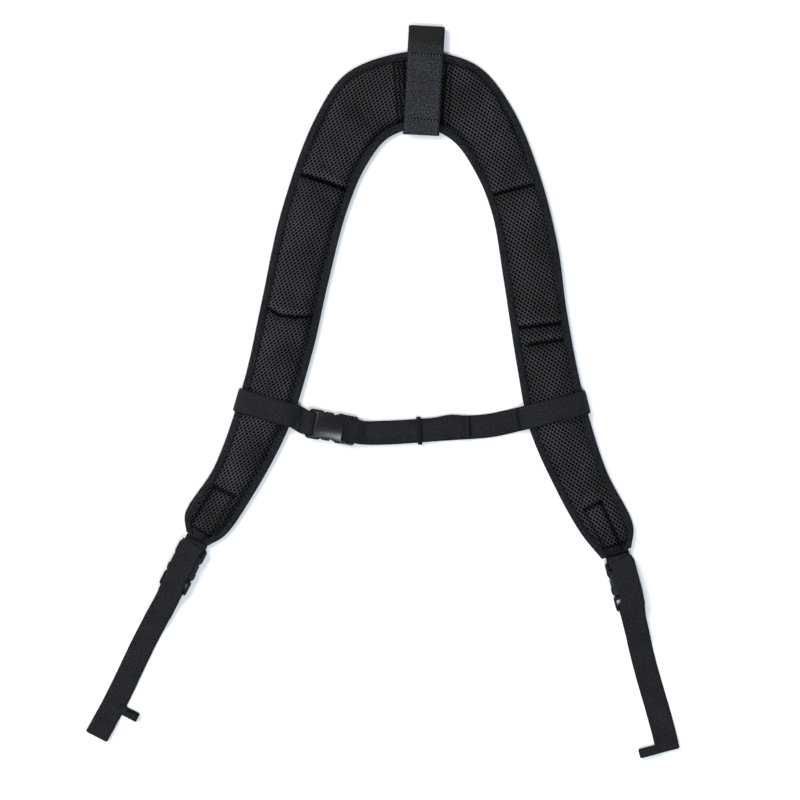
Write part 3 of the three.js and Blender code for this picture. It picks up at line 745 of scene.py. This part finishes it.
def simulate(name, out, inn, across, arm, ended):
    """Cloth run of a coarse closed pad: how far its top moves under pressure, at each of its points."""
    spot, rise, _ = pad_height(out, inn, across, arm, ended, START_FULL)
    top = np.concatenate([spot, (FLANGE_TOP + rise)[..., None]], -1)
    base = np.concatenate([spot, np.full(rise.shape, FLANGE_TOP - 1.6)[..., None]], -1)
    points, faces = closed_sheet(top, base)
    obj = face_out(make_mesh(f"{name}_trial", points, faces))
    held = obj.vertex_groups.new(name="held")
    flat = rise.reshape(-1) < 0.12 * (DOME_TOP - FLANGE_TOP)
    held.add(np.where(flat)[0].tolist() + list(range(rise.size, 2 * rise.size)), 1.0, "REPLACE")
    cloth = obj.modifiers.new("Cloth", "CLOTH")
    for key, value in CLOTH.items():
        setattr(cloth.settings, key, value)
    cloth.settings.effector_weights.gravity = 0
    cloth.collision_settings.use_collision = False
    cloth.collision_settings.use_self_collision = False
    cloth.point_cache.frame_start, cloth.point_cache.frame_end = 1, CLOTH_FRAMES
    for step in range(1, CLOTH_FRAMES + 1):
        bpy.context.scene.frame_set(step)
    ready = obj.evaluated_get(bpy.context.evaluated_depsgraph_get())
    moved = np.zeros(len(points) * 3, np.float32)
    ready.data.vertices.foreach_get("co", moved)
    moved = moved.reshape(-1, 3)[:rise.size].astype(float) * 1000
    shift = (moved - to_frame(points[:rise.size]) * 1000).reshape(*rise.shape, 3)
    bpy.context.scene.frame_set(1)
    bpy.data.objects.remove(obj)
    far = np.linalg.norm(shift, axis=-1, keepdims=True)
    return shift * np.minimum(1, MOST_MOVED / np.maximum(far, 1e-6))


def spread(field, rows_from, rows_to, across_from, across_to):
    """A coarse field of vectors read at finer ribs and shares across."""
    wide = np.stack([[np.interp(across_to, across_from, row[:, k]) for k in range(3)] for row in field])
    return np.stack([[np.interp(rows_to, rows_from, wide[:, k, c]) for c in range(len(across_to))]
                     for k in range(3)]).transpose(2, 1, 0)


def lattice_coordinates(x, y, arm):
    """Steps across the mesh's two sets of rows, PITCH for each; a set is its direction and its real step."""
    rows = {"left": ((128, 2.98), (19, 3.92)), "right": ((54.5, 3.48), (163.5, 3.45))}[arm]
    return np.stack([(x * math.cos(math.radians(turn)) + y * math.sin(math.radians(turn))) * PITCH / step
                     for turn, step in rows], -1)


def cover_shade(x, y, across, width, arm):
    """Painted light and shade of the mesh: painted shade in the creases, seams and box stitches, beside the
    inner binding and in the groove at the neck's binding, a painted highlight on the swell above each crease,
    and a little random tone.
    """
    # Painted shade along the neck seams and the pad-end box stitches
    shade = line_shade(x, y, NECK_SEAMS + [(patch[:2], 2.0, 0.93) for patch in PATCHES[arm]]
                       + [(patch[1:], 1.4, 0.55) for patch in PATCHES[arm]])
    for crease in CREASES[arm]:
        ends = [point[0] for point in crease["line"]]
        within = smooth((x - min(ends) + 3) / 5) * smooth((max(ends) + 3 - x) / 5)
        gap = crease_gap(crease, x, y) + 0.45 * soft_noise(x, y, 71, 8)
        core = np.clip(np.abs(gap + 0.7) - crease.get("dark", 0.9), 0, 99)
        # Painted shade in the crease's valley
        shade = shade * (1 - 0.97 * within * np.exp(-(core / 1.3) ** 2))
        # Painted highlight on the swell above the crease
        shade = shade * (1 + 0.4 * within * np.exp(-((gap - 4.6) / 2.6) ** 2))
        # Painted shade on the slope below the crease
        shade = shade * (1 - 0.25 * within * np.exp(-((gap + 6) / 4) ** 2))
    from_inner = (1 - across)[None, :] * width[:, None]
    from_edge = np.minimum(across, 1 - across)[None, :] * width[:, None]
    # Painted shade along the dome's side beside the inner binding
    shade = shade * (1 - (0.5 if arm == "left" else 0.2) * np.exp(-((from_inner - 11) / 3) ** 2))
    # Painted shade in the groove along the binding's inner hem round the neck
    shade = shade * (1 - 0.7 * smooth((y - 225) / 50) * np.exp(-((from_edge - 9.4) / 1.5) ** 2))
    return shade * (1 + 0.14 * soft_noise(x, y, 61, 42))


def pad_cover(name, arm, first, last, pair, fold_y, nodes):
    """Mesh-covered top of a stretch of the yoke, closed by a flat underside."""
    ended = last == ARM_END
    out, inn = ribs(arm, first, last, COVER_STEP)
    across = shares_across(0.9, 61)
    spot, rise, _ = pad_height(out, inn, across, arm, ended)
    x, y = spot[..., 0], spot[..., 1]
    height = FLANGE_TOP + rise
    coarse = (*ribs(arm, first, last, COARSE_STEP), shares_across(0.9, 15))
    shift = simulate(name, *coarse, arm, ended)
    row = np.linspace(0, 1, len(out))
    fine = spread(shift, np.linspace(0, 1, len(shift)), row, coarse[2], across)
    _, started, _ = pad_height(out, inn, across, arm, ended, START_FULL)
    # Where one stretch is cut from the next the foam is the same on both sides
    row = row[:, None]
    cut = smooth(row * len(out) * COVER_STEP / CUT_FADE)
    if not ended:
        cut = cut * smooth((1 - row) * len(out) * COVER_STEP / CUT_FADE)
    sprung = np.minimum(FLANGE_TOP + started + fine[..., 2], DOME_TOP + 0.25)
    height = height + cut * (sprung - height)
    x, y = x + 0.5 * cut * fine[..., 0], y + 0.5 * cut * fine[..., 1]
    # The foam is never quite even, and the flange puckers a little where the binding is sewn on
    height = height + 0.35 * (rise / 8) * soft_noise(x, y, 3 if arm == "left" else 4, 46)
    pucker = np.exp(-((np.minimum(across, 1 - across)[None, :] * PAD_SPAN - FLANGE) / 3.0) ** 2)
    along = np.arange(len(out))[:, None] * COVER_STEP
    height = height + 0.22 * pucker * np.sin(along * 2 * np.pi / 6.5 + 2 * soft_noise(x, y, 8, 60))
    height = np.minimum(height, DOME_TOP + 0.3)
    points, faces = closed_sheet(np.stack([x, y, height], -1),
                                 np.stack([x, y, np.full(x.shape, FLANGE_TOP - 1.3)], -1))
    shade = cover_shade(spot[..., 0], spot[..., 1], across, np.linalg.norm(inn - out, axis=1), arm)
    slots = np.zeros(len(faces), int)
    if ended:
        # The binding goes on round the pad's end
        rows, columns = x.shape
        from_end = to_end(out, inn)
        slots[:(rows - 1) * (columns - 1)] = np.repeat(from_end[:-1] < 8.4, columns - 1)
        # Painted shade in a line along the binding's hem at the pad's end; the binding beyond it is made 0.15
        # lighter
        shade = shade * (1 - 0.9 * np.exp(-((from_end - 9.4) / 1.7) ** 2) + 0.15 * (from_end < 7))[:, None]
        shade = shade * (0.82 + 0.18 * smooth((from_end - 20) / 40))[:, None]
    weave = lattice_coordinates(points[:, 0], points[:, 1], arm)
    obj = face_out(make_mesh(name, points, faces, weave, [AIR_MESH, BINDING], slots))
    set_shade(obj, np.tile(shade.ravel(), 2))
    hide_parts(*nodes)
    fold(obj, pair, arm, fold_y)
    return obj


def fold(obj, pair, arm, fold_y):
    """Bakes a piece of the yoke's placement into its mesh."""
    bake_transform(obj)


def back_sheet(name, arm, first, last, pair, fold_y, nodes):
    """Plain cloth under the pad, quilted flat where the creases are sewn."""
    out, inn = ribs(arm, first, last, 3)
    across = shares_across(1.1, 27)
    spot, _, share = pad_height(out, inn, across, arm, last == ARM_END)
    x, y = spot[..., 0], spot[..., 1]
    level = 3.3 - 0.45 * np.sin(np.pi * across)[None, :] * share + 0.12 * soft_noise(x, y, 21, 30)
    points, faces = closed_sheet(*(np.stack([x, y, level + half], -1) for half in (0.35, -0.35)))
    obj = face_out(make_mesh(name, points, faces, points[:, :2], [BACK_CLOTH]))
    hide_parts(*nodes)
    fold(obj, pair, arm, fold_y)


def tape_profile():
    """Folded tape, as (inward, up) points: outside from its upper hem to its lower one, then back inside."""
    low, high, thick = 0.05, TAPE_TOP - PAD_LIFT, 0.6
    radius = (high - low) / 2
    turn = np.linspace(math.pi / 2, 3 * math.pi / 2, 9)[1:-1]

    def bend(reach, angles):
        return [(radius + reach * math.cos(a), low + radius + reach * math.sin(a)) for a in angles]

    outside = [(TAPE_LEG, high), (TAPE_LEG * 0.6, high + 0.05), (radius + 0.4, high)] + bend(radius, turn)
    outside += [(radius + 0.4, low), (TAPE_LEG * 0.6, low), (TAPE_LEG, low)]
    inside = [(TAPE_LEG, low + thick), (radius + 0.4, low + thick)] + bend(radius - thick, turn[::-1])
    inside += [(radius + 0.4, high - thick), (TAPE_LEG, high - thick)]
    return np.array(outside + inside)


def binding(name, arm, side, first, last, pair, fold_y, nodes):
    """Binding tape folded over one edge of the yoke."""
    edge, inward = edge_and_inward(arm, side, first, last, 1.6)
    profile = tape_profile()
    along, around = lengths(edge), lengths(profile)
    points, weave = [], []
    for k in range(len(edge)):
        swell = 0.16 * math.sin(along[k] * 2 * math.pi / 7.3) + 0.25 * float(soft_noise(along[k], 0, 31, 40))
        hem = 1 + 0.05 * float(soft_noise(along[k], 0, 37, 25))
        x = profile[:, 0] * np.where(profile[:, 0] > 5, hem, 1)
        up = PAD_LIFT + profile[:, 1] + np.where(profile[:, 1] > 3, 0.5 * swell * (x / TAPE_LEG), 0)
        points.append(np.column_stack([edge[k] + np.outer(x, inward[k]), up]))
        weave.append(np.column_stack([around, np.full(len(around), along[k])]))
    points = np.vstack(points)
    faces = tube_faces(len(edge), len(profile))
    obj = face_out(make_mesh(name, points, faces, np.vstack(weave), [BINDING]))
    set_shade(obj, 1 + 0.16 * soft_noise(points[:, 0], points[:, 1], 51, 30))
    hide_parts(*nodes)
    fold(obj, pair, arm, fold_y)


STRETCHES = {
    "upper": {"first": 0, "last": 2, "pair": ("yoke", "{arm}_shoulder"), "fold": SHOULDER_FOLD_Y,
              "panels": ("neck", "{arm}_shoulder")},
    "lower": {"first": 2, "last": 4, "pair": ("{arm}_shoulder", "{arm}_chest"), "fold": CHEST_FOLD_Y,
              "panels": ("{arm}_shoulder", "{arm}_chest")},
}


def dashes(name, lines, material, length=2.4, gap=1.5, radius=0.32):
    """Rows of short sewn threads along 3-D lines (mm), each sunk at both ends; one closed mesh for all."""
    points, faces = [], []
    ring = [(math.cos(a), math.sin(a)) for a in np.linspace(0, 2 * math.pi, 6, endpoint=False)]
    shares, lifts = (0, 0.2, 0.5, 0.8, 1), (-0.35, 0.06, 0.16, 0.06, -0.35)
    one = tube_faces(len(lifts), len(ring))
    for line in lines:
        route = Line(even(line, 0.8))
        at = gap / 2
        while at + length < route.length:
            spots = [route.read(at + length * t) for t in shares]
            ahead = spots[-1] - spots[0]
            ahead = ahead / np.linalg.norm(ahead)
            side = np.cross([0, 0, 1.0], ahead)
            side = side / np.linalg.norm(side)
            faces += [[len(points) + v for v in face] for face in one]
            for spot, lift in zip(spots, lifts):
                points += [spot + side * u * radius + np.array([0, 0, lift + v * radius]) for u, v in ring]
            at += length + gap
    return make_mesh(name, np.array(points), faces, None, [material])


def stitch(name, rows, slot, body, material=None, **size):
    """Rows of stitches that ride on one body, or have their placement baked by fold where body is fold's own
    arguments.
    """
    seams = dashes(name, rows, material or THREAD, **size)
    if isinstance(body, str):
        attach(seams, body)
    else:
        fold(seams, *body)


COVERS = {}
for arm in ("left", "right"):
    for part, stretch in STRETCHES.items():
        pair = tuple(p.format(arm=arm) for p in stretch["pair"])
        panels = [p.format(arm=arm) for p in stretch["panels"]]
        span = (stretch["first"], stretch["last"], pair, stretch["fold"])
        name = f"{arm}_{part}"
        COVERS[name] = pad_cover(f"{name}_cover", arm, *span,
                                 [f"{p}_{k}" for p in panels for k in ("mesh_cover", "foam")])
        back_sheet(f"{name}_back", arm, *span, [f"{p}_back_fabric" for p in panels])
        for side in ("outer", "inner"):
            binding(f"{name}_{side}_binding", arm, side, *span, [f"{p}_{side}_binding" for p in panels])

# ------------------------------------------------------------------ neck webbing and hang loop

def spot_on(plan, along, across, height):
    """Point on a webbing that is laid out by plan."""
    (x, y), (sx, sy) = plan(along)
    return np.array([x + sx * across, y + sy * across, height])


def seam(plan, start, end, height, count=14):
    """Straight row of points from one (along, across) to another."""
    return [spot_on(plan, a, b, height) for a, b in zip(*np.linspace(start, end, count).T)]


def declare_web(nodes):
    """Hides the CAD pieces that a webbing stands for."""
    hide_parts(*nodes)


def add_web(name, path, plan, body, nodes, rests, held="folded", step=1.1, **look):
    """Piece of the main webbing along (along, height) points, laid out by plan."""
    spots, sides = in_plan(even(path, step), plan)
    obj = webbing(name, spots, sides, WEB, THICK, WEBBING, **look)
    declare_web(nodes)
    if body:
        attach(obj, body)
    return obj


def arch_height(along):
    """Middle of the neck webbing where it arches over the pad."""
    x = np.clip((along / (TAB_SEWN / 2) - 1) * 0.985, -0.985, 0.985)
    return 6.9 + 8.4 * np.sqrt(1 - x * x)


tab_plan = axis_plan(TAB_FOOT, math.pi / 2 - TAB_LEAN)
arch = [(along, float(arch_height(along))) for along in np.linspace(0, TAB_SEWN, 60)]
radius = (LOOP_TOP - REST) / 2 - 0.2
bend = TAB_SEWN + LOOP_REACH
loop_path = arch + [(TAB_SEWN + 4, LOOP_TOP - 0.45), (TAB_SEWN + 9, LOOP_TOP - 0.1)]
loop_path += [tuple(p) for p in bar_turn(bend - radius, 1, radius, (LOOP_TOP + REST) / 2)[::-1]]
loop_path += [(bend - 8, REST + 0.1), (TAB_SEWN, REST), (0, REST)]
spots, sides = in_plan(even(rounded(loop_path, 3, 3), 1.2), tab_plan)
tab = webbing("neck_webbing", spots, sides, TAB_WIDTH, THICK, TAB, edge=0.1, seed=3)
declare_web(["neck_web", "neck_web_back", "hang_loop"])
hinge_low, hinge_high = (to_frame(spot_on(tab_plan, TAB_SEWN + d, 0, 9.6)) for d in (-2.5, 2.5))
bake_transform(tab)

# ------------------------------------------------------------------ chest strap

def line_plan(points):
    """A curve through points, and its plan."""
    line = Line(catmull(points))

    def plan(along):
        inside = min(max(along, 0.4), line.length - 0.4)
        a, b = line.read(inside - 0.4), line.read(inside + 0.4)
        t = (b - a) / np.linalg.norm(b - a)
        past = min(along, 0) + max(along - line.length, 0)
        return line.read(along) + t * past, (-t[1], t[0])

    return line, plan


def over_pad(reach, centre):
    """Arch over a pad from its outer side to its inner one, as (along, height) points."""
    points, base, top, power = [], THICK / 2 + 0.1, 15.15, 2 / 2.6
    for angle in np.linspace(math.pi, 0, 35):
        c, s = math.cos(angle), math.sin(angle)
        points.append((centre + reach * math.copysign(abs(c) ** power, c),
                       base + (top - base) * max(0.0, s) ** power))
    return points


def sleeve_path(spec):
    """Point in plan at a distance from a sleeve's middle, along it."""
    c, s = math.cos(spec["turn"]), math.sin(spec["turn"])
    return lambda d: (spec["centre"][0] + c * d, spec["centre"][1] + s * d)


# Left: one web from under the pad, over it, round the socket's bar and back
at = sleeve_path(LEFT_SLEEVE)
axis = axis_plan(STERNUM_BAR, STERNUM_TURN)
left_line, left_plan = line_plan([*(at(d) for d in (-40, -20, 0, 20, 30)), *(axis(d)[0] for d in (-4, 0, 5))])
centre_at = 40
bar_at = left_line.length - 5
reach = LEFT_SLEEVE["width"] / 2 + 4.0
path = [(centre_at + 8, REST), (centre_at - reach + 3, REST)]
path += [p for p in over_pad(reach, centre_at) if p[0] < centre_at + reach - 3.2 or p[1] > 12]
path += [(centre_at + reach + 0.4, 6.6), (bar_at - 3.2, 7.3)]
path += [tuple(p) for p in bar_turn(bar_at, 1, bulge=LOOSE)[::-1]]
path += [(bar_at - 6, REST + 0.15), (centre_at + 18, REST), (centre_at + 9.5, REST)]
add_web("left_sleeve_web", rounded(path, 2.2, 4), left_plan, "sternum",
        ["left_sleeve", "sternum_anchor_web"], ["left_lower_cover"], seed=12)

# Right: the strap's far end goes over the pad, round it and back under, and is sewn to itself
at = sleeve_path(RIGHT_SLEEVE)
right_line, right_plan = line_plan([STRAP_ROUTE[-2], STRAP_ROUTE[-1], at(-20), at(0), at(20), at(40)])
centre_at = right_line.at[np.argmin(np.linalg.norm(right_line.points - np.array(at(0)), axis=1))]
reach = RIGHT_SLEEVE["width"] / 2 + 4.0
path = [(centre_at - reach - 7.5, 4.15), (centre_at - reach - 1.2, 4.25)]
path += [p for p in over_pad(reach, centre_at) if p[0] > centre_at - reach + 3.2 or p[1] > 12]
path += [(centre_at + reach - 3, REST), (centre_at - reach - 5.5, REST)]
add_web("right_sleeve_web", rounded(path, 2.4, 4), right_plan, "sternum",
        ["right_sleeve"], ["right_lower_cover"], seed=15)

# Load strap, from under the plug's bars to the right sleeve
strap_line, curve_plan = line_plan([axis(STRAIGHT_TO)[0], axis(STRAIGHT_TO + 4)[0], *STRAP_ROUTE])
STRAP_END = STRAIGHT_TO + strap_line.length


def strap_plan(along):
    """Straight inside the buckle, then along the strap's route."""
    return axis(along) if along <= STRAIGHT_TO else curve_plan(along - STRAIGHT_TO)


path = rounded([(40.6, 0.95), (53, 0.95), (64, 2), (STRAP_END - 12, 2), (STRAP_END + 3, 2.5)], 6, 5)
load = add_web("chest_strap_web", path, strap_plan, None, ["sternum_strap"], [], "laid", 1.3,
               ripple=0.2, seed=21)
start, end = (to_frame(spot_on(strap_plan, along, 0, 2)) for along in (56, STRAP_END - 6))
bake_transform(load)


def tail_plan(along):
    """The tail lies on the strap, a little off it towards the pads where it has slipped."""
    slip = 1.9 * math.exp(-((along - 150) / 11) ** 2) - 0.3 * math.exp(-((along - 85) / 16) ** 2)
    return spot_on(strap_plan, along, slip, 0)[:2], strap_plan(along)[1]


path = rounded([(41.2, 1.1), (39.75, 1.3), (39.75, 7.4), (39, 9.3), (37.2, 9.8), (36.3, 10.4), (38.6, 11.1),
                (49.5, 10.2), (52, 9.3), (61, 4.6), (70, 3.85),
                (TAIL_END - 22, 3.85), (TAIL_END - 9, 4.3), (TAIL_END, 4.1)], 1.3, 5)
add_web("chest_strap_tail", path, tail_plan, "sternum_plug", ["sternum_strap"], ["chest_strap_web"], "laid",
        ripple=0.25, seed=24)

# Keeper: a narrow elastic ring round strap and tail
side = np.array(strap_plan(KEEPER_AT)[1])
half_width, low, high = WEB / 2 + 1.9, 0.42, 5.75
ring = rounded([(0, high), (half_width, high), (half_width, low), (-half_width, low), (-half_width, high),
                (0.5, high + 0.1)], 1.6, 5)
spots = np.array([spot_on(strap_plan, KEEPER_AT, a, z) for a, z in even(ring, 1.2)])
sides = np.tile([side[1], -side[0], 0], (len(spots), 1))
keeper = webbing("strap_keeper_band", spots, sides, 4.6, 0.8, ELASTIC, ripple=0.05)
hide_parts("strap_keeper")
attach(keeper, "keeper")

# ------------------------------------------------------------------ lower straps

def lower_set(name, spec):
    """One lower strap: the webs at both ends of its buckle, the strap over it, and its pull loop."""
    plan = axis_plan(spec["bar"], spec["turn"])
    plug = f"{name}_plug"
    second = REST + THICK + 0.3                 # mid-height of a second layer, and of a third
    third = second + THICK + 0.3

    anchor = [*rounded([(-50, REST), (-8, REST), (0, BAR_MID - BAR_LOOP)], 3)[:-1],
              *bar_turn(0, 1, bulge=LOOSE), (-6.8, 5.3)]
    add_web(f"{name}_anchor_webbing", anchor, plan, f"{name}_chest",
            [f"{name}_anchor_web"], [f"{name}_lower_back"], seed=31)

    loop = [*rounded([(80, REST), (58, REST), (49, BAR_MID - BAR_LOOP)], 3), *bar_turn(47.5, -1),
            *rounded([(49.5, BAR_MID + BAR_LOOP - 0.5), (58, second), (80, second)], 3)]
    add_web(f"{name}_plug_webbing", loop, plan, plug,
            [f"{name}_plug_web"], [f"{name}_strap_webbing"], seed=34)

    # The strap covers the buckle from its bar on, and sways a little as it lies
    over, length, hem = 10.95, spec["length"], 24
    route = [(-2.5, 10.6), (4.5, over), (50, over), (62, third), (82, third), (94, REST + 0.2),
             (length - hem - 6, REST), (length - hem + 2, second), (length - 1.7, second)]
    fold_back = bar_turn(length - 1.7, 1, (second - REST) / 2, (second + REST) / 2, 8)[::-1]
    path = np.vstack([rounded(route, 5, 5), fold_back[1:], [(length - hem + 5, REST)]])

    def slipped(along):
        slip = -spec["slip"] * float(smooth((66 - along) / 34)) * float(smooth((along + 14) / 22))
        slip += 0.8 * math.sin(along / 23)
        return spot_on(plan, along, slip, 0)[:2], plan(along)[1]

    add_web(f"{name}_strap_webbing", path, slipped, plug, [f"{name}_strap"], [],
            step=1.2, ripple=0.3, seed=37)

    # Pull loop of narrow tape, a little open, with its legs sewn to the strap's edge
    radius, reach, side = 2.25, 16.5, spec["side"]
    pull = [(-5, REST + 0.05), (0.5, REST), *bar_turn(reach - radius, 1, radius, REST + radius, 10),
            (1.5, REST + 2 * radius - 0.4), (-5, second + 1.5)]
    out_from = WEB / 2 + 0.3
    spots = np.array([spot_on(plan, spec["pull"], side * (out_from + a), z)
                      for a, z in even(rounded(pull, 1.2, 3), 0.8)])
    _, across = plan(spec["pull"])
    ahead = np.array([-across[1], across[0], 0]) * side
    web = webbing(f"{name}_pull_webbing", spots, np.tile(ahead, (len(spots), 1)), 9.6, 1.2, WEBBING,
                  edge=0.1, ripple=0.08, seed=41)
    declare_web([f"{name}_pull_loop"])
    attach(web, plug)

    # Box stitch over the buckle's loop, the hem, and the pull loop's legs
    top, hem_top = third + THICK / 2, second + THICK / 2
    rows = [seam(plan, (along, -10.5), (along, 10.5), top) for along in (64, 80)]
    rows += [seam(plan, (64, a), (80, a), top) for a in (-10.5, 10.5, 0)]
    rows += [seam(plan, (length - hem + d, -11), (length - hem + d, 11), hem_top) for d in (4, 6.5)]
    foot = spec["pull"]
    height, past = (hem_top, 3) if foot >= length - hem else (REST + THICK / 2, 4)
    rows += [seam(plan, (foot - 4, a * side), (foot + past, a * side), height) for a in (8.5, 11.2)]
    stitch(f"{name}_strap_seams", rows, "webbing", plug)


for name, spec in LOWER_SETS.items():
    lower_set(name, spec)

# ------------------------------------------------------------------ stitches

# Neck webbing: two rows across it, pale thread between needle holes painted dark as the shade in them
rows, holes = [], []
for along in (15.3, 84.0):
    height = float(arch_height(along)) + THICK / 2 + 0.35
    rows.append(seam(tab_plan, (along - 0.5, -16.4), (along - 0.5, 18.0), height, 20))
    holes.append(seam(tab_plan, (along, -17.6), (along, 17.6), height, 20))
stitch("neck_thread", rows, "tab_webbing", "yoke", LIGHT_THREAD, length=1.2, gap=2.2, radius=0.38)
stitch("neck_needle_holes", holes, "tab_webbing", "yoke", NEEDLE, length=2.1, gap=1.3, radius=0.95)


def on_pad(cover, line):
    """A line in plan laid on the top of a finished pad, its threads a little sunk."""
    out = []
    for x, y in even(line, 1.0):
        hit, where, _, _ = cover.ray_cast(Vector(to_frame([x, y, 40])), Vector((0, 0, -1)))
        if hit:
            out.append((x, y, where.z * 1000 - 0.1))
    return out


for arm in ("left", "right"):
    for part, stretch in STRETCHES.items():
        name = f"{arm}_{part}"
        bpy.context.view_layer.update()
        bend = (tuple(p.format(arm=arm) for p in stretch["pair"]), arm, stretch["fold"])
        lines = [crease["line"] for crease in CREASES[arm]
                 if (np.mean([y for _, y in crease["line"]]) > 150) == (part == "upper")]
        if part == "lower":
            lines += PATCHES[arm]
        rows = [row for row in (on_pad(COVERS[name], line) for line in lines) if len(row) > 4]
        stitch(f"{name}_seams", rows, "binding", bend, length=2.6, gap=1.2, radius=0.36)

        # The row that holds the binding, just inside its hem
        rows = []
        for side in ("outer", "inner"):
            edge, inward = edge_and_inward(arm, side, stretch["first"], stretch["last"], 2)
            rows.append(np.insert(edge + inward * (TAPE_LEG - 1.7), 2, TAPE_TOP + 0.12, axis=1))
        stitch(f"{name}_binding_seams", rows, "binding", bend, length=2.5, gap=1.3, radius=0.28)

# Chest strap: the sewn joint of the right sleeve, the fold of the left one, and the tail's hem
across_web = {"length": 2.4, "gap": 1.1, "radius": 0.34}
rows = [seam(plan, (along, -11), (along, 11), height) for plan, along, height in (
    (right_plan, centre_at - reach - 5.6, 4.95), (right_plan, centre_at - reach - 2.6, 5.0),
    (left_plan, bar_at - 6.5, 7.75))]
stitch("sleeve_seams", rows, "webbing", "sternum", **across_web)
rows = [seam(tail_plan, (along, -11), (along, 11), 5.0) for along in (TAIL_END - 8, TAIL_END - 5.6)]
stitch("chest_strap_seams", rows, "webbing", "sternum_plug", **across_web)

# ------------------------------------------------------------------ camera, light and floor

def build_stage():
    """White paper floor, soft boxes round it and a camera straight above."""
    scene = bpy.context.scene
    floor = bpy.data.meshes.new("floor")
    reach, drop = 3.0, 0.0006
    corners = [(-reach, -reach), (reach, -reach), (reach, reach), (-reach, reach)]
    floor.from_pydata([(x, y, -drop) for x, y in corners], [], [(0, 1, 2, 3)])
    ground = bpy.data.objects.new("floor", floor)
    scene.collection.objects.link(ground)
    n = Nodes("floor_paper")
    n.paint(n.mix(n.noise(n.place(), 4, 2), (0.93, 0.93, 0.93), (0.96, 0.96, 0.96)))
    n.shader.inputs["Roughness"].default_value = 0.9
    floor.materials.append(n.material)

    world = bpy.data.worlds.new("studio")
    world.use_nodes = True
    sky = world.node_tree.nodes["Background"]
    sky.inputs["Color"].default_value = (0.95, 0.97, 1, 1)
    sky.inputs["Strength"].default_value = 0.3
    scene.world = world

    def lamp(name, place, size, power, color=(1, 1, 1)):
        data = bpy.data.lights.new(name, "AREA")
        data.shape = "RECTANGLE"
        data.size, data.size_y = size
        data.energy = power
        data.color = color
        obj = bpy.data.objects.new(name, data)
        obj.location = place
        obj.rotation_euler = (-Vector(place)).to_track_quat("-Z", "Y").to_euler()
        scene.collection.objects.link(obj)

    lamp("south_box", (0.34, -1.02, 2.5), (1.1, 0.55), 46, (0.82, 0.91, 1))
    lamp("north_box", (-1.3, 1.3, 2.1), (1.6, 1.1), 52)
    lamp("west_box", (-2.0, -0.3, 1.3), (0.9, 1.4), 16, (0.96, 0.98, 1))

    # The view is 0.84 m wide at the height of the pads' middle, 8 mm up
    camera = bpy.data.cameras.new("camera")
    camera.sensor_width = 36
    height = 3.2
    camera.lens = camera.sensor_width * (height - 0.008) / 0.840
    camera.clip_start, camera.clip_end = 0.05, 20
    eye = bpy.data.objects.new("camera", camera)
    eye.location = (0.0183, -0.0088, height)
    scene.collection.objects.link(eye)
    scene.camera = eye
    scene.view_settings.view_transform = "Standard"
    scene.view_settings.look = "None"
    scene.view_settings.exposure = 0
    scene.view_settings.gamma = 1


build_stage()

# ------------------------------------------------------------------ buckles

# Their bodies are moulded copies of the CAD parts; their prongs keep the CAD shape

BUCKLE_HALF = 15.8                            # half a buckle's width
VOXEL = 0.45                                  # of the fine mesh
BUCKLES = {"sternum": (STERNUM_BAR, STERNUM_TURN, "sternum", "sternum_plug")}
for side_name, spec in LOWER_SETS.items():
    BUCKLES[side_name] = (spec["bar"], spec["turn"], f"{side_name}_socket", f"{side_name}_plug")


def moulding(name, body, bar, turn, crown, longer, material):
    """Finely meshed copy of a buckle's part, with rounded edges, crowned faces and a longer mouth."""
    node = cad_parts[name]
    obj = bpy.data.objects.new(f"{name}_moulding", node.data.copy())
    bpy.context.scene.collection.objects.link(obj)
    remesh = obj.modifiers.new("fine", "REMESH")
    remesh.mode = "VOXEL"
    remesh.voxel_size = VOXEL / 1000
    soft = obj.modifiers.new("soft", "SMOOTH")
    soft.factor, soft.iterations = 0.5, 7
    ready = bpy.data.meshes.new_from_object(obj.evaluated_get(bpy.context.evaluated_depsgraph_get()))
    obj.modifiers.clear()
    obj.data = ready
    co = np.zeros(len(ready.vertices) * 3, np.float32)
    ready.vertices.foreach_get("co", co)
    co = co.reshape(-1, 3).astype(float) * 1000
    plan = co[:, :2] - ORIGIN - np.array(bar)
    c, s = math.cos(turn), math.sin(turn)
    along, across = plan @ (c, s), plan @ (-s, c)
    up = (co[:, 2] - BAR_MID) / BAR_MID
    swell = 1 - np.clip(np.abs(across) / BUCKLE_HALF, 0, 1) ** 2.2
    ends = 1 - np.clip(np.abs(along - 22) / 26, 0, 1) ** 2
    co[:, 2] += crown * up * (swell * (0.45 + 0.55 * ends) - 0.62)
    co[:, :2] += np.outer(longer * smooth((along - 12) / 14), (c, s))
    ready.vertices.foreach_set("co", (co / 1000).astype(np.float32).ravel())
    ready.polygons.foreach_set("use_smooth", np.ones(len(ready.polygons), bool))
    ready.materials.clear()
    ready.materials.append(material)
    ready.update()
    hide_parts(name)
    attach(obj, body)


for name, (bar, turn, socket, plug) in BUCKLES.items():
    crown, longer, material = (2.6, 4.6, PLASTIC) if name == "sternum" else (0.3, 0, DULL_PLASTIC)
    moulding(f"{name}_buckle_socket", socket, bar, turn, crown, longer, material)
    moulding(f"{name}_buckle_plug", plug, bar, turn, crown / 2, 0, material)

for name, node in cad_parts.items():
    if "buckle" in name or "prong" in name:
        node.data.materials.clear()
        node.data.materials.append(PLASTIC)
